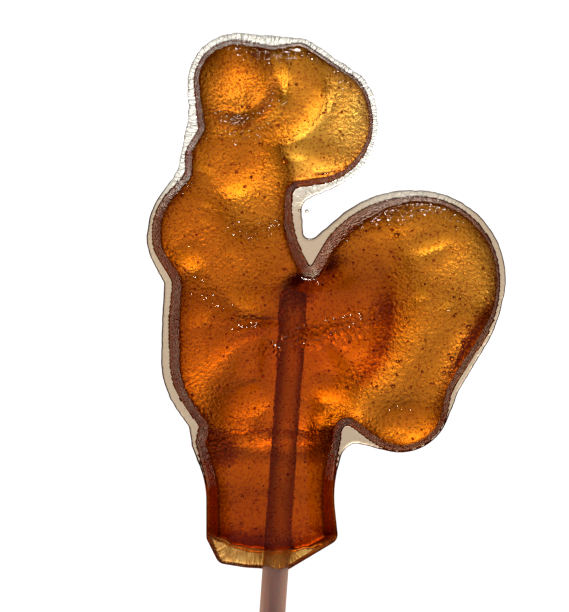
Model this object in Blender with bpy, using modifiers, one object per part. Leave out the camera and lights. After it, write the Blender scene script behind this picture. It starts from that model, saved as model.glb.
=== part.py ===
"""Cockerel lollipop of burnt sugar, cast in a two-part mould round a stick, lying on its back.

The candy is drawn flat, in millimetres, in the plane where the two halves of the mould meet:
x to the right, y up the figure, with the zero where the stick leaves the foot. The outline runs
round a chain of circles like a belt over pulleys. One half of the relief is raised over it, and
a Mirror makes the other half, as the two halves of such a mould are alike.
"""
import math
from dataclasses import dataclass

import bmesh
import bpy
import numpy as np
from mathutils import Euler, Matrix, Vector
from mathutils.geometry import delaunay_2d_cdt

MM = 0.001

STICK_DIAMETER = 3.5
STICK_LENGTH = 120.0
STICK_IN_CANDY = 36.5
STICK_LEAN = math.radians(4.0)
STICK_CHAMFER = 0.25
STICK_SIDES = 32
BORE_GAP = 0.3

FLASH_HALF = 0.42
FLASH_RIM_HALF = 0.25
FLASH_RIM_INSET = 0.25

# The mouth of the mould: below this arc the candy is only a lip round the stick.
LIP_HALF = 2.5
LIP_SOFTNESS = 0.9
LIP_MIDDLE = 2.7
LIP_ENDS = 4.7
LIP_HALF_WIDTH = 8.3

# How far a station reaches, in square millimetres, and how fast its pull falls beyond that.
STATION_REACH = 4.5
STATION_FALL = 2.0
GROOVE_RUNOUT = 3.0

# How finely the surface is divided: rings that follow the outline, then a lattice inside them.
ARC_STEP = 1.0
LARGEST_BEND = math.radians(40.0)
RING_OFFSETS = (0.12, 0.45, 1.0, 1.8, 2.8)
RING_SHARE_KEPT = 0.97
LATTICE_PITCH = 1.4
COMB_PITCH = 0.95
COMB_BASE = 57.5
SLIVER = 0.33
FIRST_RING_GAP = 0.1
RING_GAP = 0.5
FIELD_GAP = 0.7
ON_LINE = 0.001
SAME_POINT = 0.00001
TINY = 1e-9

REST_HEIGHT = 7.2
CUTTER_REACH = 10.0
TABLE_SIZE = 300.0
MERGE_DISTANCE = 0.01
EASED_SEGMENTS = 2
SHARP_ANGLE = math.radians(40.0)

SUGAR_COLOUR = (0.62, 0.25, 0.03)
SUGAR_ROUGHNESS = 0.12
STICK_COLOUR = (0.78, 0.76, 0.72)
STICK_ROUGHNESS = 0.6

BULGE = 1
HOLLOW = -1


@dataclass(frozen=True)
class Arc:
    """One circle that the outline bends round, and the same for the flash outside it."""
    name: str
    x: float
    y: float
    radius: float
    side: int
    flash: tuple | float | None


@dataclass(frozen=True)
class Station:
    """A place on the figure: half its thickness, how wide its edge is, and how round."""
    name: str
    x: float
    y: float
    half: float
    edge: float
    roundness: float = 2.2


@dataclass(frozen=True)
class Pad:
    """An oval that stands up from the figure, or a dish where raised is negative.

    It comes up to its full height over softness millimetres at its rim, and over a share of its
    length, fade, from the end that it points away from.
    """
    name: str
    x: float
    y: float
    long: float
    short: float
    turn: float
    raised: float
    softness: float
    fade: float = 0.0


@dataclass(frozen=True)
class Groove:
    """A crease pressed along an arc, from one angle to another in degrees."""
    name: str
    x: float
    y: float
    radius: float
    start: float
    end: float
    depth: float
    width: float


# The outline, anticlockwise from the front of the comb. The last value is how far the flash
# stands out, a circle of its own (x, y, radius), or None where the flash runs straight past.
OUTLINE = (
    Arc("comb_front", -5.2, 65.1, 5.7, BULGE, (-5.15, 65.2, 6.6)),
    Arc("beak", -11.2, 59.0, 0.9, HOLLOW, (-13.6, 60.6, 1.9)),
    Arc("face", -9.6, 55.4, 2.4, BULGE, None),
    Arc("throat", -13.9, 53.6, 1.9, HOLLOW, (-19.8, 56.2, 7.1)),
    Arc("breast_top", -8.3, 44.9, 8.15, BULGE, 0.72),
    Arc("breast", -10.95, 44.3, 5.45, BULGE, 0.9),
    Arc("crop", -15.95, 38.0, 2.2, HOLLOW, 1.2),
    Arc("belly", 15.7, 32.0, 29.9, BULGE, 1.05),
    Arc("belly_low", -3.5, 28.0, 10.6, BULGE, 1.25),
    Arc("girdle_left", -10.9, 18.9, 0.7, HOLLOW, (-12.95, 18.4, 1.4)),
    Arc("collar_left", -9.3, 16.9, 1.3, BULGE, 0.7),
    Arc("trunk_left", -19.1, 10.1, 10.0, HOLLOW, (-22.0, 9.0, 12.7)),
    Arc("foot_left", -8.0, 4.3, 1.1, BULGE, 0.2),
    Arc("heel", -6.7, 1.9, 1.2, BULGE, 0.2),
    Arc("foot", -3.0, 9.2, 9.0, BULGE, 0.2),
    Arc("drip_side", -1.5, -0.25, 0.35, HOLLOW, 0.2),
    Arc("drip", 0.4, 1.6, 2.05, BULGE, 0.2),
    Arc("foot_right", 7.0, 4.5, 1.15, BULGE, 0.2),
    Arc("trunk_right", 27.7, 10.5, 20.0, HOLLOW, (23.3, 9.6, 15.4)),
    Arc("collar_right", 7.25, 17.3, 1.4, BULGE, None),
    Arc("tail_root", 9.75, 18.15, 1.05, HOLLOW, (10.9, 14.6, 2.1)),
    Arc("tail_tip", 16.7, 22.3, 6.45, BULGE, 0.35),
    Arc("tail_waist", 29.5, 21.5, 6.25, HOLLOW, 0.85),
    Arc("tail_side", 14.8, 38.3, 15.2, BULGE, 0.65),
    Arc("tail_arch", 19.0, 38.8, 11.0, BULGE, 0.9),
    Arc("tail_front", 18.3, 35.6, 14.1, BULGE, 1.05),
    Arc("notch", 4.65, 40.85, 0.35, HOLLOW, (4.7, 45.2, 1.0)),
    Arc("nape", 15.5, 48.3, 13.4, HOLLOW, 1.4),
    Arc("comb_chin", 3.5, 49.9, 1.35, HOLLOW, (5.0, 48.2, 1.5)),
    Arc("comb_back", 4.7, 59.8, 8.3, BULGE, (4.2, 59.8, 9.45)),
    Arc("comb_shoulder", 7.4, 61.7, 5.2, BULGE, 0.75),
    Arc("comb_middle", 3.0, 67.9, 2.5, BULGE, 0.75),
    Arc("comb_nick", -0.5, 71.0, 1.0, HOLLOW, None),
)

STATIONS = (
    Station("comb_front", -5.3, 65.0, 4.7, 1.7),
    Station("comb_middle", 3.0, 66.0, 3.5, 1.6),
    Station("comb_back", 10.5, 59.5, 2.7, 1.3),
    Station("head", -5.0, 56.0, 4.7, 1.6),
    Station("head_back", 5.5, 54.0, 3.3, 1.4),
    Station("neck", -3.0, 48.5, 4.4, 1.5),
    Station("breast", -11.5, 45.0, 5.0, 2.2),
    Station("chest", -4.8, 40.0, 5.6, 1.8),
    Station("nape", 2.5, 42.5, 5.0, 2.0),
    Station("belly_left", -10.0, 31.5, 5.8, 2.4),
    Station("belly", -3.5, 27.5, 5.3, 2.4),
    Station("flank", 3.5, 34.5, 5.6, 2.4),
    Station("loin", -1.0, 21.5, 5.0, 2.2),
    Station("collar", -0.5, 16.0, 6.7, 2.0),
    Station("trunk", -0.5, 7.5, 7.4, 2.2),
    Station("tail_front", 11.5, 43.0, 4.1, 3.0, 1.4),
    Station("tail_arch", 21.0, 44.5, 3.7, 1.5),
    Station("tail_side", 27.0, 39.5, 3.4, 1.1),
    Station("tail_band", 25.0, 28.5, 4.2, 4.6, 1.05),
    Station("tail_middle", 18.0, 33.0, 4.4, 2.4),
    Station("tail_low", 15.5, 24.5, 4.7, 2.0),
    Station("tail_tip", 17.5, 18.5, 4.5, 1.7),
)

# The haunch is these two ovals joined, the taller one wherever they meet.
HAUNCH = (
    Pad("wing", 6.2, 31.6, 11.5, 7.2, 30.0, 1.8, 1.7),
    Pad("thigh", -0.3, 25.8, 10.2, 7.3, -4.0, 1.7, 1.9, 0.7),
)

DISHES = (
    Pad("comb_dish", -5.2, 64.8, 4.7, 3.5, 96.0, -1.7, 2.4),
    Pad("head_dish", 3.6, 54.7, 2.9, 1.2, 0.0, -1.3, 2.2),
    Pad("neck_dish", -4.5, 50.4, 2.2, 1.5, 20.0, -1.8, 2.8),
    Pad("breast_dish", -10.5, 41.0, 1.6, 1.0, 100.0, -1.4, 2.0),
    Pad("chest_dish", -3.4, 35.6, 2.9, 0.8, -25.0, -1.2, 1.6),
    Pad("loin_dish_left", -2.7, 21.8, 1.8, 1.4, 0.0, -1.2, 2.6),
    Pad("loin_dish_right", 6.3, 22.5, 3.0, 1.5, -50.0, -1.7, 2.8),
    Pad("loin_dish_low", 7.3, 20.0, 3.4, 1.1, 0.0, -1.0, 2.0),
    Pad("tail_dish", 20.7, 43.3, 3.4, 0.8, 18.0, -0.9, 1.6),
)

GROOVES = (
    Groove("comb_ring", -5.4, 65.0, 6.1, -115.0, 50.0, 1.9, 0.9),
    Groove("comb_crescent", 0.9, 63.9, 5.2, -110.0, 35.0, 1.2, 1.1),
    Groove("comb_crescent_back", 0.9, 63.9, 8.2, -75.0, 10.0, 1.0, 1.1),
    Groove("breast_fold", -10.5, 44.5, 5.3, 185.0, 262.0, 0.5, 0.4),
    Groove("girdle", -0.5, -26.6, 45.0, 79.0, 101.0, 1.1, 0.8),
    Groove("collar_foot", -0.5, -29.4, 44.0, 80.0, 100.0, 0.5, 0.8),
)

def flash_arc(arc):
    """The same bend, further out, as (x, y, radius, side)."""
    if isinstance(arc.flash, tuple):
        return (*arc.flash, arc.side)
    return (arc.x, arc.y, arc.radius + arc.side * arc.flash, arc.side)


def belt(circles, step):
    """Points along a belt that runs anticlockwise round circles of (x, y, radius, side)."""
    headings = []
    for (x1, y1, r1, s1), (x2, y2, r2, s2) in zip(circles, circles[1:] + circles[:1]):
        across = s1 * r1 - s2 * r2
        along = math.sqrt((x2 - x1) ** 2 + (y2 - y1) ** 2 - across ** 2)
        headings.append(math.atan2(y2 - y1, x2 - x1) + math.atan2(across, along))
    corners = []
    for (x, y, radius, side), start, end in zip(circles, headings[-1:] + headings[:-1], headings):
        turn = (end - start) * side % math.tau
        count = max(1, math.ceil(turn / min(step / radius, LARGEST_BEND)))
        for i in range(count + 1):
            heading = start + side * turn * i / count
            corners.append((x + side * radius * math.sin(heading), y - side * radius * math.cos(heading)))
    points = []
    for (xa, ya), (xb, yb) in zip(corners, corners[1:] + corners[:1]):
        parts = max(1, round(math.dist((xa, ya), (xb, yb)) / step))
        points += [(xa + (xb - xa) * i / parts, ya + (yb - ya) * i / parts) for i in range(parts)]
    return np.array(points)


def distance_to_loop(points, loop):
    """How far each point is from a closed loop."""
    run = np.roll(loop, -1, axis=0) - loop
    offset = points[:, None, :] - loop[None, :, :]
    share = np.clip((offset * run).sum(-1) / np.maximum((run ** 2).sum(-1), TINY), 0.0, 1.0)
    return np.linalg.norm(offset - share[..., None] * run, axis=-1).min(1)


def inside_loop(points, loop):
    """Which points a closed loop goes round."""
    x, y = points[:, :1], points[:, 1:]
    xa, ya = loop[:, 0], loop[:, 1]
    xb, yb = np.roll(xa, -1), np.roll(ya, -1)
    climb = np.where(yb == ya, TINY, yb - ya)
    crosses = ((ya > y) != (yb > y)) & (x < (xb - xa) * (y - ya) / climb + xa)
    return crosses.sum(1) % 2 == 1


def smooth(value, low, high):
    """A soft step from 0 at low to 1 at high."""
    share = np.clip((value - low) / (high - low), 0.0, 1.0)
    return share * share * (3.0 - 2.0 * share)


def spread(points):
    """Half thickness, edge width and roundness between the stations, the nearest counting most."""
    weights = []
    for station in STATIONS:
        gap = (points[:, 0] - station.x) ** 2 + (points[:, 1] - station.y) ** 2
        weights.append((gap + STATION_REACH) ** -STATION_FALL)
    weights = np.array(weights) / np.sum(weights, axis=0)
    values = np.array([(station.half, station.edge, station.roundness) for station in STATIONS])
    return (weights.T @ values).T


def pad_rise(pad, points):
    """What one pad or dish adds."""
    turn = math.radians(pad.turn)
    x, y = points[:, 0] - pad.x, points[:, 1] - pad.y
    along = (x * math.cos(turn) + y * math.sin(turn)) / pad.long
    across = (y * math.cos(turn) - x * math.sin(turn)) / pad.short
    inside = (1.0 - np.hypot(along, across)) * pad.short
    rise = pad.raised * smooth(inside, -pad.softness / 2, pad.softness / 2)
    return rise * smooth(along, -1.0, -1.0 + pad.fade) if pad.fade else rise


def groove_depth(groove, points):
    """How deep one groove is at each point, running out softly at its ends."""
    x, y = points[:, 0] - groove.x, points[:, 1] - groove.y
    angle = (np.degrees(np.arctan2(y, x)) - groove.start) % 360.0 + groove.start
    run = np.radians(np.minimum(angle - groove.start, groove.end - angle)) * groove.radius
    side = (np.hypot(x, y) - groove.radius) / groove.width
    return groove.depth * np.exp(-side ** 2) * smooth(run, 0.0, GROOVE_RUNOUT * groove.width)


def half_thickness(points, inset):
    """Height of the candy above the mould's plane, inset millimetres in from the outline."""
    half, edge, roundness = spread(points)
    half += np.max([pad_rise(pad, points) for pad in HAUNCH], axis=0)
    half += sum(pad_rise(pad, points) for pad in DISHES)
    half -= sum(groove_depth(groove, points) for groove in GROOVES)
    lip = smooth(mouth_height(points[:, 0]) - points[:, 1], -LIP_SOFTNESS / 2, LIP_SOFTNESS / 2)
    half += (LIP_HALF - half) * lip
    slope = (1.0 - np.clip(inset / edge, 0.0, 1.0)) ** roundness
    return FLASH_HALF + (half - FLASH_HALF) * (1.0 - slope) ** (1.0 / roundness)


def offset_ring(loop, inset):
    """The loop moved inward, without the points that would cross the figure's middle."""
    ahead = np.roll(loop, -1, axis=0) - np.roll(loop, 1, axis=0)
    normal = np.stack([-ahead[:, 1], ahead[:, 0]], axis=1) / np.linalg.norm(ahead, axis=1)[:, None]
    ring = loop + normal * inset
    keep = inside_loop(ring, loop) & (distance_to_loop(ring, loop) > RING_SHARE_KEPT * inset)
    return ring[keep]


def lattice(loop, pitch):
    """A triangular lattice over a loop's box."""
    low, high = loop.min(0), loop.max(0)
    rows = np.arange(low[1], high[1], pitch * math.sqrt(3) / 2)
    points = []
    for i, y in enumerate(rows):
        columns = np.arange(low[0] + (i % 2) * pitch / 2, high[0], pitch)
        points.append(np.stack([columns, np.full(len(columns), y)], axis=1))
    return np.concatenate(points)


def thinned(points, kept, gap):
    """Those points that stay a gap away from the points already kept."""
    for point in points:
        if np.min(np.sum((np.asarray(kept) - point) ** 2, axis=1)) > gap ** 2:
            kept.append(point)
    return kept


def mouth_height(x):
    """How far up the figure the mouth of the mould reaches at x."""
    return LIP_MIDDLE + (LIP_ENDS - LIP_MIDDLE) * (x / LIP_HALF_WIDTH) ** 2


def mouth_rows(loop):
    """Points above and below the step at the mouth, so that the step is cut clean."""
    x = np.arange(-LIP_HALF_WIDTH, LIP_HALF_WIDTH, ARC_STEP)
    rows = [np.stack([x, mouth_height(x) + side * LIP_SOFTNESS / 2], axis=1) for side in (-1, 1)]
    rows = np.concatenate(rows)
    return rows[inside_loop(rows, loop) & (distance_to_loop(rows, loop) > SLIVER)]


def inner_field(loop):
    """The lattices inside the rings: a fine one over the comb, a coarser one below it."""
    fine = lattice(loop, COMB_PITCH)
    coarse = lattice(loop, LATTICE_PITCH)
    field = np.concatenate([fine[fine[:, 1] > COMB_BASE], coarse[coarse[:, 1] <= COMB_BASE]])
    field = field[inside_loop(field, loop)]
    return field[distance_to_loop(field, loop) > RING_OFFSETS[2]]


def half_mesh():
    """The upper half of the candy with its flash, open at the mould's plane."""
    outline = belt([(arc.x, arc.y, arc.radius, arc.side) for arc in OUTLINE], ARC_STEP)
    flash = belt([flash_arc(arc) for arc in OUTLINE if arc.flash is not None], ARC_STEP)
    fixed = list(flash) + list(outline)
    rim = offset_ring(flash, FLASH_RIM_INSET)
    rim = rim[~inside_loop(rim, outline) & (distance_to_loop(rim, outline) > SLIVER)]
    free = thinned(rim, list(fixed), SLIVER)
    free = thinned(offset_ring(outline, RING_OFFSETS[0]), free, FIRST_RING_GAP)
    free = thinned(mouth_rows(outline), free, SLIVER)
    for inset in RING_OFFSETS[1:]:
        free = thinned(offset_ring(outline, inset), free, RING_GAP)
    free = np.array(thinned(inner_field(outline), free, FIELD_GAP))
    loops = []
    for first, size in ((0, len(flash)), (len(flash), len(outline))):
        loops += [(first + i, first + (i + 1) % size) for i in range(size)]
    flat = delaunay_2d_cdt([Vector(point) for point in free], loops, [], 0, SAME_POINT)
    points = np.array([tuple(point) for point in flat[0]])
    faces = [face for face in flat[2]
             if inside_loop(points[list(face)].mean(0)[None], flash)[0]]
    height = np.full(len(points), FLASH_HALF)
    inside = inside_loop(points, outline) & (distance_to_loop(points, outline) > ON_LINE)
    height[inside] = half_thickness(points[inside], distance_to_loop(points[inside], outline))
    on_rim = distance_to_loop(points, flash) < ON_LINE
    height[on_rim] = FLASH_RIM_HALF
    return points, height, faces


def candy_half():
    """The half as a Blender mesh, with its rim brought down to the mould's plane."""
    points, height, faces = half_mesh()
    mesh = bmesh.new()
    corners = [mesh.verts.new((x * MM, y * MM, z * MM)) for (x, y), z in zip(points, height)]
    for face in faces:
        mesh.faces.new([corners[i] for i in face])
    loose = [corner for corner in mesh.verts if not corner.link_faces]
    bmesh.ops.delete(mesh, geom=loose, context='VERTS')
    bmesh.ops.recalc_face_normals(mesh, faces=mesh.faces)
    if sum(face.normal.z for face in mesh.faces) < 0:
        bmesh.ops.reverse_faces(mesh, faces=mesh.faces)
    border = [edge for edge in mesh.edges if edge.is_boundary]
    skirt = bmesh.ops.extrude_edge_only(mesh, edges=border)
    for item in skirt["geom"]:
        if isinstance(item, bmesh.types.BMVert):
            item.co.z = 0.0
    bmesh.ops.recalc_face_normals(mesh, faces=mesh.faces)
    data = bpy.data.meshes.new("candy")
    mesh.to_mesh(data)
    mesh.free()
    return data


def material(name, colour, roughness):
    """A Principled material that isn't metal."""
    made = bpy.data.materials.new(name)
    made.use_nodes = True
    shader = made.node_tree.nodes["Principled BSDF"]
    shader.inputs["Base Color"].default_value = (*colour, 1.0)
    shader.inputs["Roughness"].default_value = roughness
    shader.inputs["Metallic"].default_value = 0.0
    return made


def collection(name):
    """A collection in the scene."""
    made = bpy.data.collections.new(name)
    bpy.context.scene.collection.children.link(made)
    return made


def place(thing, group, parent=None):
    """Put an object in a collection, under a parent."""
    for old in list(thing.users_collection):
        old.objects.unlink(thing)
    group.objects.link(thing)
    thing.parent = parent
    return thing


def guide(thing):
    """Mark an object as a cutter."""
    thing.hide_render = True
    thing.display_type = 'WIRE'
    return thing


def rod(name, radius, low, high):
    """A cylinder on the stick's axis, from one length along it to another."""
    bpy.ops.mesh.primitive_cylinder_add(
        vertices=STICK_SIDES, radius=radius * MM, depth=(high - low) * MM)
    made = bpy.context.object
    made.name = name
    made.data.name = name
    made.data.transform(Matrix.Translation((0.0, 0.0, (low + high) / 2 * MM)))
    made.rotation_euler = Euler((-math.pi / 2, 0.0, -STICK_LEAN), 'XYZ')
    return made


def cut(thing, name, cutter):
    """Take a cutter away from an object."""
    boolean = thing.modifiers.new(name, 'BOOLEAN')
    boolean.operation = 'DIFFERENCE'
    boolean.object = cutter


def build_stick(group, parent):
    """The stick, with its two ends eased."""
    stick = rod("stick", STICK_DIAMETER / 2, STICK_IN_CANDY - STICK_LENGTH, STICK_IN_CANDY)
    stick.data.materials.append(material("white_stick", STICK_COLOUR, STICK_ROUGHNESS))
    chamfer = stick.modifiers.new("eased ends", 'BEVEL')
    chamfer.width = STICK_CHAMFER * MM
    chamfer.segments = EASED_SEGMENTS
    stick.data.shade_smooth()
    stick.data.set_sharp_from_angle(angle=SHARP_ANGLE)
    return place(stick, group, parent)


def build_candy(group, cutters, parent):
    """The cast figure, mirrored, bored for the stick and flat where it touches the table."""
    candy = bpy.data.objects.new("candy", candy_half())
    candy.data.materials.append(material("burnt_sugar", SUGAR_COLOUR, SUGAR_ROUGHNESS))
    place(candy, group, parent)
    mirror = candy.modifiers.new("other half", 'MIRROR')
    mirror.use_axis = (False, False, True)
    mirror.merge_threshold = MERGE_DISTANCE * MM
    bore = guide(rod("bore", STICK_DIAMETER / 2 + BORE_GAP, -CUTTER_REACH, STICK_IN_CANDY + BORE_GAP))
    cut(candy, "bore for the stick", place(bore, cutters, parent))
    bpy.ops.mesh.primitive_cube_add(size=1.0)
    table = guide(bpy.context.object)
    table.name = "table"
    table.scale = Vector((TABLE_SIZE, TABLE_SIZE, CUTTER_REACH)) * MM
    table.location = (0.0, 0.0, -CUTTER_REACH / 2 * MM)
    cut(candy, "spots it lies on", place(table, cutters))
    candy.data.shade_smooth()
    return candy


def centre(rest, pieces):
    """Move the empty so that the middle of the whole lollipop's plan is over the zero."""
    bpy.context.view_layer.update()
    graph = bpy.context.evaluated_depsgraph_get()
    corners = []
    for piece in pieces:
        solid = piece.evaluated_get(graph)
        corners += [piece.matrix_world @ Vector(corner) for corner in solid.bound_box]
    for axis in (0, 1):
        values = [corner[axis] for corner in corners]
        rest.location[axis] -= (min(values) + max(values)) / 2


def main():
    """Build the lollipop lying on its back, the mould's plane level and the shown side up."""
    for thing in list(bpy.data.objects):
        bpy.data.objects.remove(thing, do_unlink=True)
    pieces = collection("cockerel lollipop")
    cutters = collection("cutters")
    rest = bpy.data.objects.new("lollipop", None)
    pieces.objects.link(rest)
    rest.location.z = REST_HEIGHT * MM
    centre(rest, [build_candy(pieces, cutters, rest), build_stick(pieces, rest)])


main()
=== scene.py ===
"""Looks of a cockerel lollipop of burnt sugar, lying on a pale lit floor and seen from above.

Shapes are drawn in millimetres in the mould's frame, x to the right and y up the figure from
where the stick leaves the foot, z up from the plane where the two halves of the mould met. They
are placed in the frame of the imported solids, in metres, only when a mesh is made.
"""
import logging
import math
from dataclasses import dataclass, field
from enum import Enum

import bpy
import numpy as np
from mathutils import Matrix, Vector, kdtree, noise
from mathutils.geometry import delaunay_2d_cdt


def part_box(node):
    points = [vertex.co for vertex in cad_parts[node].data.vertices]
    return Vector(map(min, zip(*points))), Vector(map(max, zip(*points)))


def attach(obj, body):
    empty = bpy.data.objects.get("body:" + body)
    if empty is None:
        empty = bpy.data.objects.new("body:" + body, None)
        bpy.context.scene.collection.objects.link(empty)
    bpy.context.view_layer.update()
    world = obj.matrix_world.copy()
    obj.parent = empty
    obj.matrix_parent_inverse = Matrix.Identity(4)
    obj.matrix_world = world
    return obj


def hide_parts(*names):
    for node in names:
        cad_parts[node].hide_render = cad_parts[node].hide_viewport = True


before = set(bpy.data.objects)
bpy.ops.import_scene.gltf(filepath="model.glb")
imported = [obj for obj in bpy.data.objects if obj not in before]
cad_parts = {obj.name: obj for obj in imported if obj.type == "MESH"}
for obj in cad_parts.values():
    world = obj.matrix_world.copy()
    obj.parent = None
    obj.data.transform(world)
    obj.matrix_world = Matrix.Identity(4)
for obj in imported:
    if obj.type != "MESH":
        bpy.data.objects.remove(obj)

log = logging.getLogger("lollipop")

MM = 0.001
BODY = "root"
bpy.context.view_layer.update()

# The photograph: its size, its scale at the mould's plane, and where the stick leaves the foot.
PHOTO_WIDTH = 569
PHOTO_HEIGHT = 612
PIXELS_PER_MM = 7.45
FOOT_PIXEL = (275.5, 568.0)

ON_LINE = 0.001
SAME_POINT = 0.00001
TINY = 1e-9

STICK_LEAN = math.radians(4.0)
STICK_AXIS = np.array([math.sin(STICK_LEAN), math.cos(STICK_LEAN)])
STICK_ACROSS = np.array([math.cos(STICK_LEAN), -math.sin(STICK_LEAN)])

Span = tuple[float, float]
Colour = tuple[float, float, float]
Socket = bpy.types.NodeSocket


class Side(Enum):
    """Which way the outline bends round a circle."""

    BULGE = 1
    HOLLOW = -1


class Pattern(Enum):
    """Which pattern of unevenness is meant, by the value that sets it apart."""

    RIM_LARGE = 3.0
    RIM_SMALL = 7.0
    SHOWN_SKIN = 11.0
    HIDDEN_SKIN = 23.0
    MOUTH = 31.0
    WALL = 41.0


@dataclass(frozen=True)
class Arc:
    """One circle that the outline bends round, and the same for the flash outside it."""

    name: str
    x: float
    y: float
    radius: float
    side: Side
    flash: tuple | float | None


@dataclass(frozen=True)
class Station:
    """A place on the figure: half its thickness, its wall's width and the height of the crown on it."""

    name: str
    x: float
    y: float
    half: float
    wall: float
    crown: float


@dataclass(frozen=True)
class Pad:
    """An oval that stands up from the figure.

    Its edge is as soft as each of the four values says: at its far end, above it, at its near end
    and below it, seen along its length.
    """

    name: str
    x: float
    y: float
    long: float
    short: float
    turn: float
    raised: float
    soft: tuple[float, float, float, float]
    fade: float = 0.0


@dataclass(frozen=True)
class Slope:
    """A place where the figure thins downhill, after thickening a little and before it recovers."""

    name: str
    x: float
    y: float
    heading: float
    run: float
    width: float
    drop: float
    recovery: float
    # How much glow is painted at the gleam, as a clearer, yellower skin.
    clear: float = 1.0


@dataclass(frozen=True)
class Scale:
    """The edge of a lobe that overlaps the next one, along an arc from one angle to another."""

    name: str
    x: float
    y: float
    radius: float
    start: float
    end: float
    drop: float
    run: float
    recovery: float


@dataclass(frozen=True)
class Groove:
    """A crease pressed along an arc, from one angle to another in degrees."""

    name: str
    x: float
    y: float
    radius: float
    start: float
    end: float
    depth: float
    width: float


# The outline, anticlockwise from the front of the comb. The last value is how far the flash
# stands out, a circle of its own (x, y, radius), or None where the flash runs straight past.
OUTLINE = (
    Arc("comb_front", -5.2, 65.1, 5.7, Side.BULGE, (-5.15, 65.2, 6.6)),
    Arc("beak", -11.2, 59.0, 0.9, Side.HOLLOW, (-13.6, 60.6, 1.9)),
    Arc("face", -9.6, 55.4, 2.4, Side.BULGE, None),
    Arc("throat", -13.9, 53.6, 1.9, Side.HOLLOW, (-19.8, 56.2, 7.1)),
    Arc("breast_top", -8.3, 44.9, 8.15, Side.BULGE, 0.72),
    Arc("breast", -10.95, 44.3, 5.45, Side.BULGE, 0.9),
    Arc("crop", -15.95, 38.0, 2.2, Side.HOLLOW, 1.2),
    Arc("belly", 15.7, 32.0, 29.9, Side.BULGE, 1.05),
    Arc("belly_low", -3.5, 28.0, 10.6, Side.BULGE, 1.25),
    Arc("girdle_left", -10.9, 18.9, 0.7, Side.HOLLOW, (-12.95, 18.4, 1.4)),
    Arc("collar_left", -9.3, 16.9, 1.3, Side.BULGE, 0.7),
    Arc("trunk_left", -19.1, 10.1, 10.0, Side.HOLLOW, (-22.0, 9.0, 12.7)),
    Arc("foot_left", -8.0, 4.3, 1.1, Side.BULGE, 0.2),
    Arc("heel", -6.7, 1.9, 1.2, Side.BULGE, 0.2),
    Arc("foot", -3.0, 9.2, 9.0, Side.BULGE, 0.2),
    Arc("drip_side", -1.5, -0.25, 0.35, Side.HOLLOW, 0.2),
    Arc("drip", 0.4, 1.6, 2.05, Side.BULGE, 0.2),
    Arc("foot_right", 7.0, 4.5, 1.15, Side.BULGE, 0.2),
    Arc("trunk_right", 27.7, 10.5, 20.0, Side.HOLLOW, (23.3, 9.6, 15.4)),
    Arc("collar_right", 7.25, 17.3, 1.4, Side.BULGE, None),
    Arc("tail_root", 9.75, 18.15, 1.05, Side.HOLLOW, (10.9, 14.6, 2.1)),
    Arc("tail_tip", 16.7, 22.3, 6.45, Side.BULGE, 0.35),
    Arc("tail_waist", 29.5, 21.5, 6.25, Side.HOLLOW, 0.85),
    Arc("tail_side", 14.8, 38.3, 15.2, Side.BULGE, 0.65),
    Arc("tail_arch", 19.0, 38.8, 11.0, Side.BULGE, 0.9),
    Arc("tail_front", 18.3, 35.6, 14.1, Side.BULGE, 1.05),
    Arc("notch", 4.65, 40.85, 0.35, Side.HOLLOW, (4.7, 45.2, 1.0)),
    Arc("nape", 15.5, 48.3, 13.4, Side.HOLLOW, 1.4),
    Arc("comb_chin", 3.5, 49.9, 1.35, Side.HOLLOW, (5.0, 48.2, 1.5)),
    Arc("comb_back", 4.7, 59.8, 8.3, Side.BULGE, (4.2, 59.8, 9.45)),
    Arc("comb_shoulder", 7.4, 61.7, 5.2, Side.BULGE, 0.75),
    Arc("comb_middle", 3.0, 67.9, 2.5, Side.BULGE, 0.75),
    Arc("comb_nick", -0.5, 71.0, 1.0, Side.HOLLOW, None),
)

STATIONS = (
    Station("comb_front", -5.3, 65.0, 4.35, 0.6, 1.6),
    Station("comb_middle", 3.0, 66.0, 3.7, 0.4, 1.5),
    Station("comb_back", 10.5, 59.5, 2.95, 0.35, 1.2),
    Station("head", -5.0, 56.0, 4.8, 0.8, 1.1),
    Station("head_back", 5.5, 54.0, 3.3, 0.6, 1.0),
    Station("neck", -3.0, 48.5, 4.25, 0.9, 1.1),
    Station("breast", -11.5, 45.0, 5.3, 1.2, 0.9),
    Station("chest", -4.8, 40.0, 5.3, 1.2, 1.0),
    Station("nape", 2.5, 42.5, 5.2, 1.0, 0.6),
    Station("belly_left", -10.0, 31.5, 6.3, 1.3, 1.1),
    Station("belly", -3.5, 27.5, 4.8, 1.2, 1.1),
    Station("flank", 3.5, 34.5, 5.45, 1.5, 0.8),
    Station("loin", -1.0, 21.5, 5.3, 1.2, 1.0),
    Station("loin_right", 8.5, 21.0, 4.6, 1.0, 1.0),
    Station("collar", -0.5, 16.0, 6.6, 1.9, 1.2),
    Station("trunk_top", -0.5, 12.0, 6.8, 1.5, 1.5),
    Station("trunk", -0.5, 6.5, 7.45, 1.6, 1.8),
    Station("tail_front", 11.5, 43.0, 4.6, 1.8, 0.6),
    Station("tail_arch", 21.0, 44.5, 3.85, 0.6, 1.2),
    Station("tail_side", 27.0, 39.5, 3.4, 0.4, 1.7),
    Station("tail_band", 25.0, 28.5, 4.2, 1.2, 0.5),
    Station("tail_middle", 18.0, 33.0, 4.1, 1.1, 1.0),
    Station("tail_low", 15.5, 24.5, 4.2, 0.9, 1.3),
    Station("tail_tip", 17.5, 18.5, 5.0, 0.7, 1.6),
)

# The haunch is these two ovals joined, the taller one wherever they meet.
HAUNCH = (
    Pad("wing", 6.2, 31.6, 11.5, 7.2, 30.0, 1.8, (6.0, 13.0, 7.0, 9.0)),
    Pad("thigh", -0.3, 25.8, 10.2, 7.3, -4.0, 1.7, (4.0, 2.0, 3.0, 6.0), 0.7),
)

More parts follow.
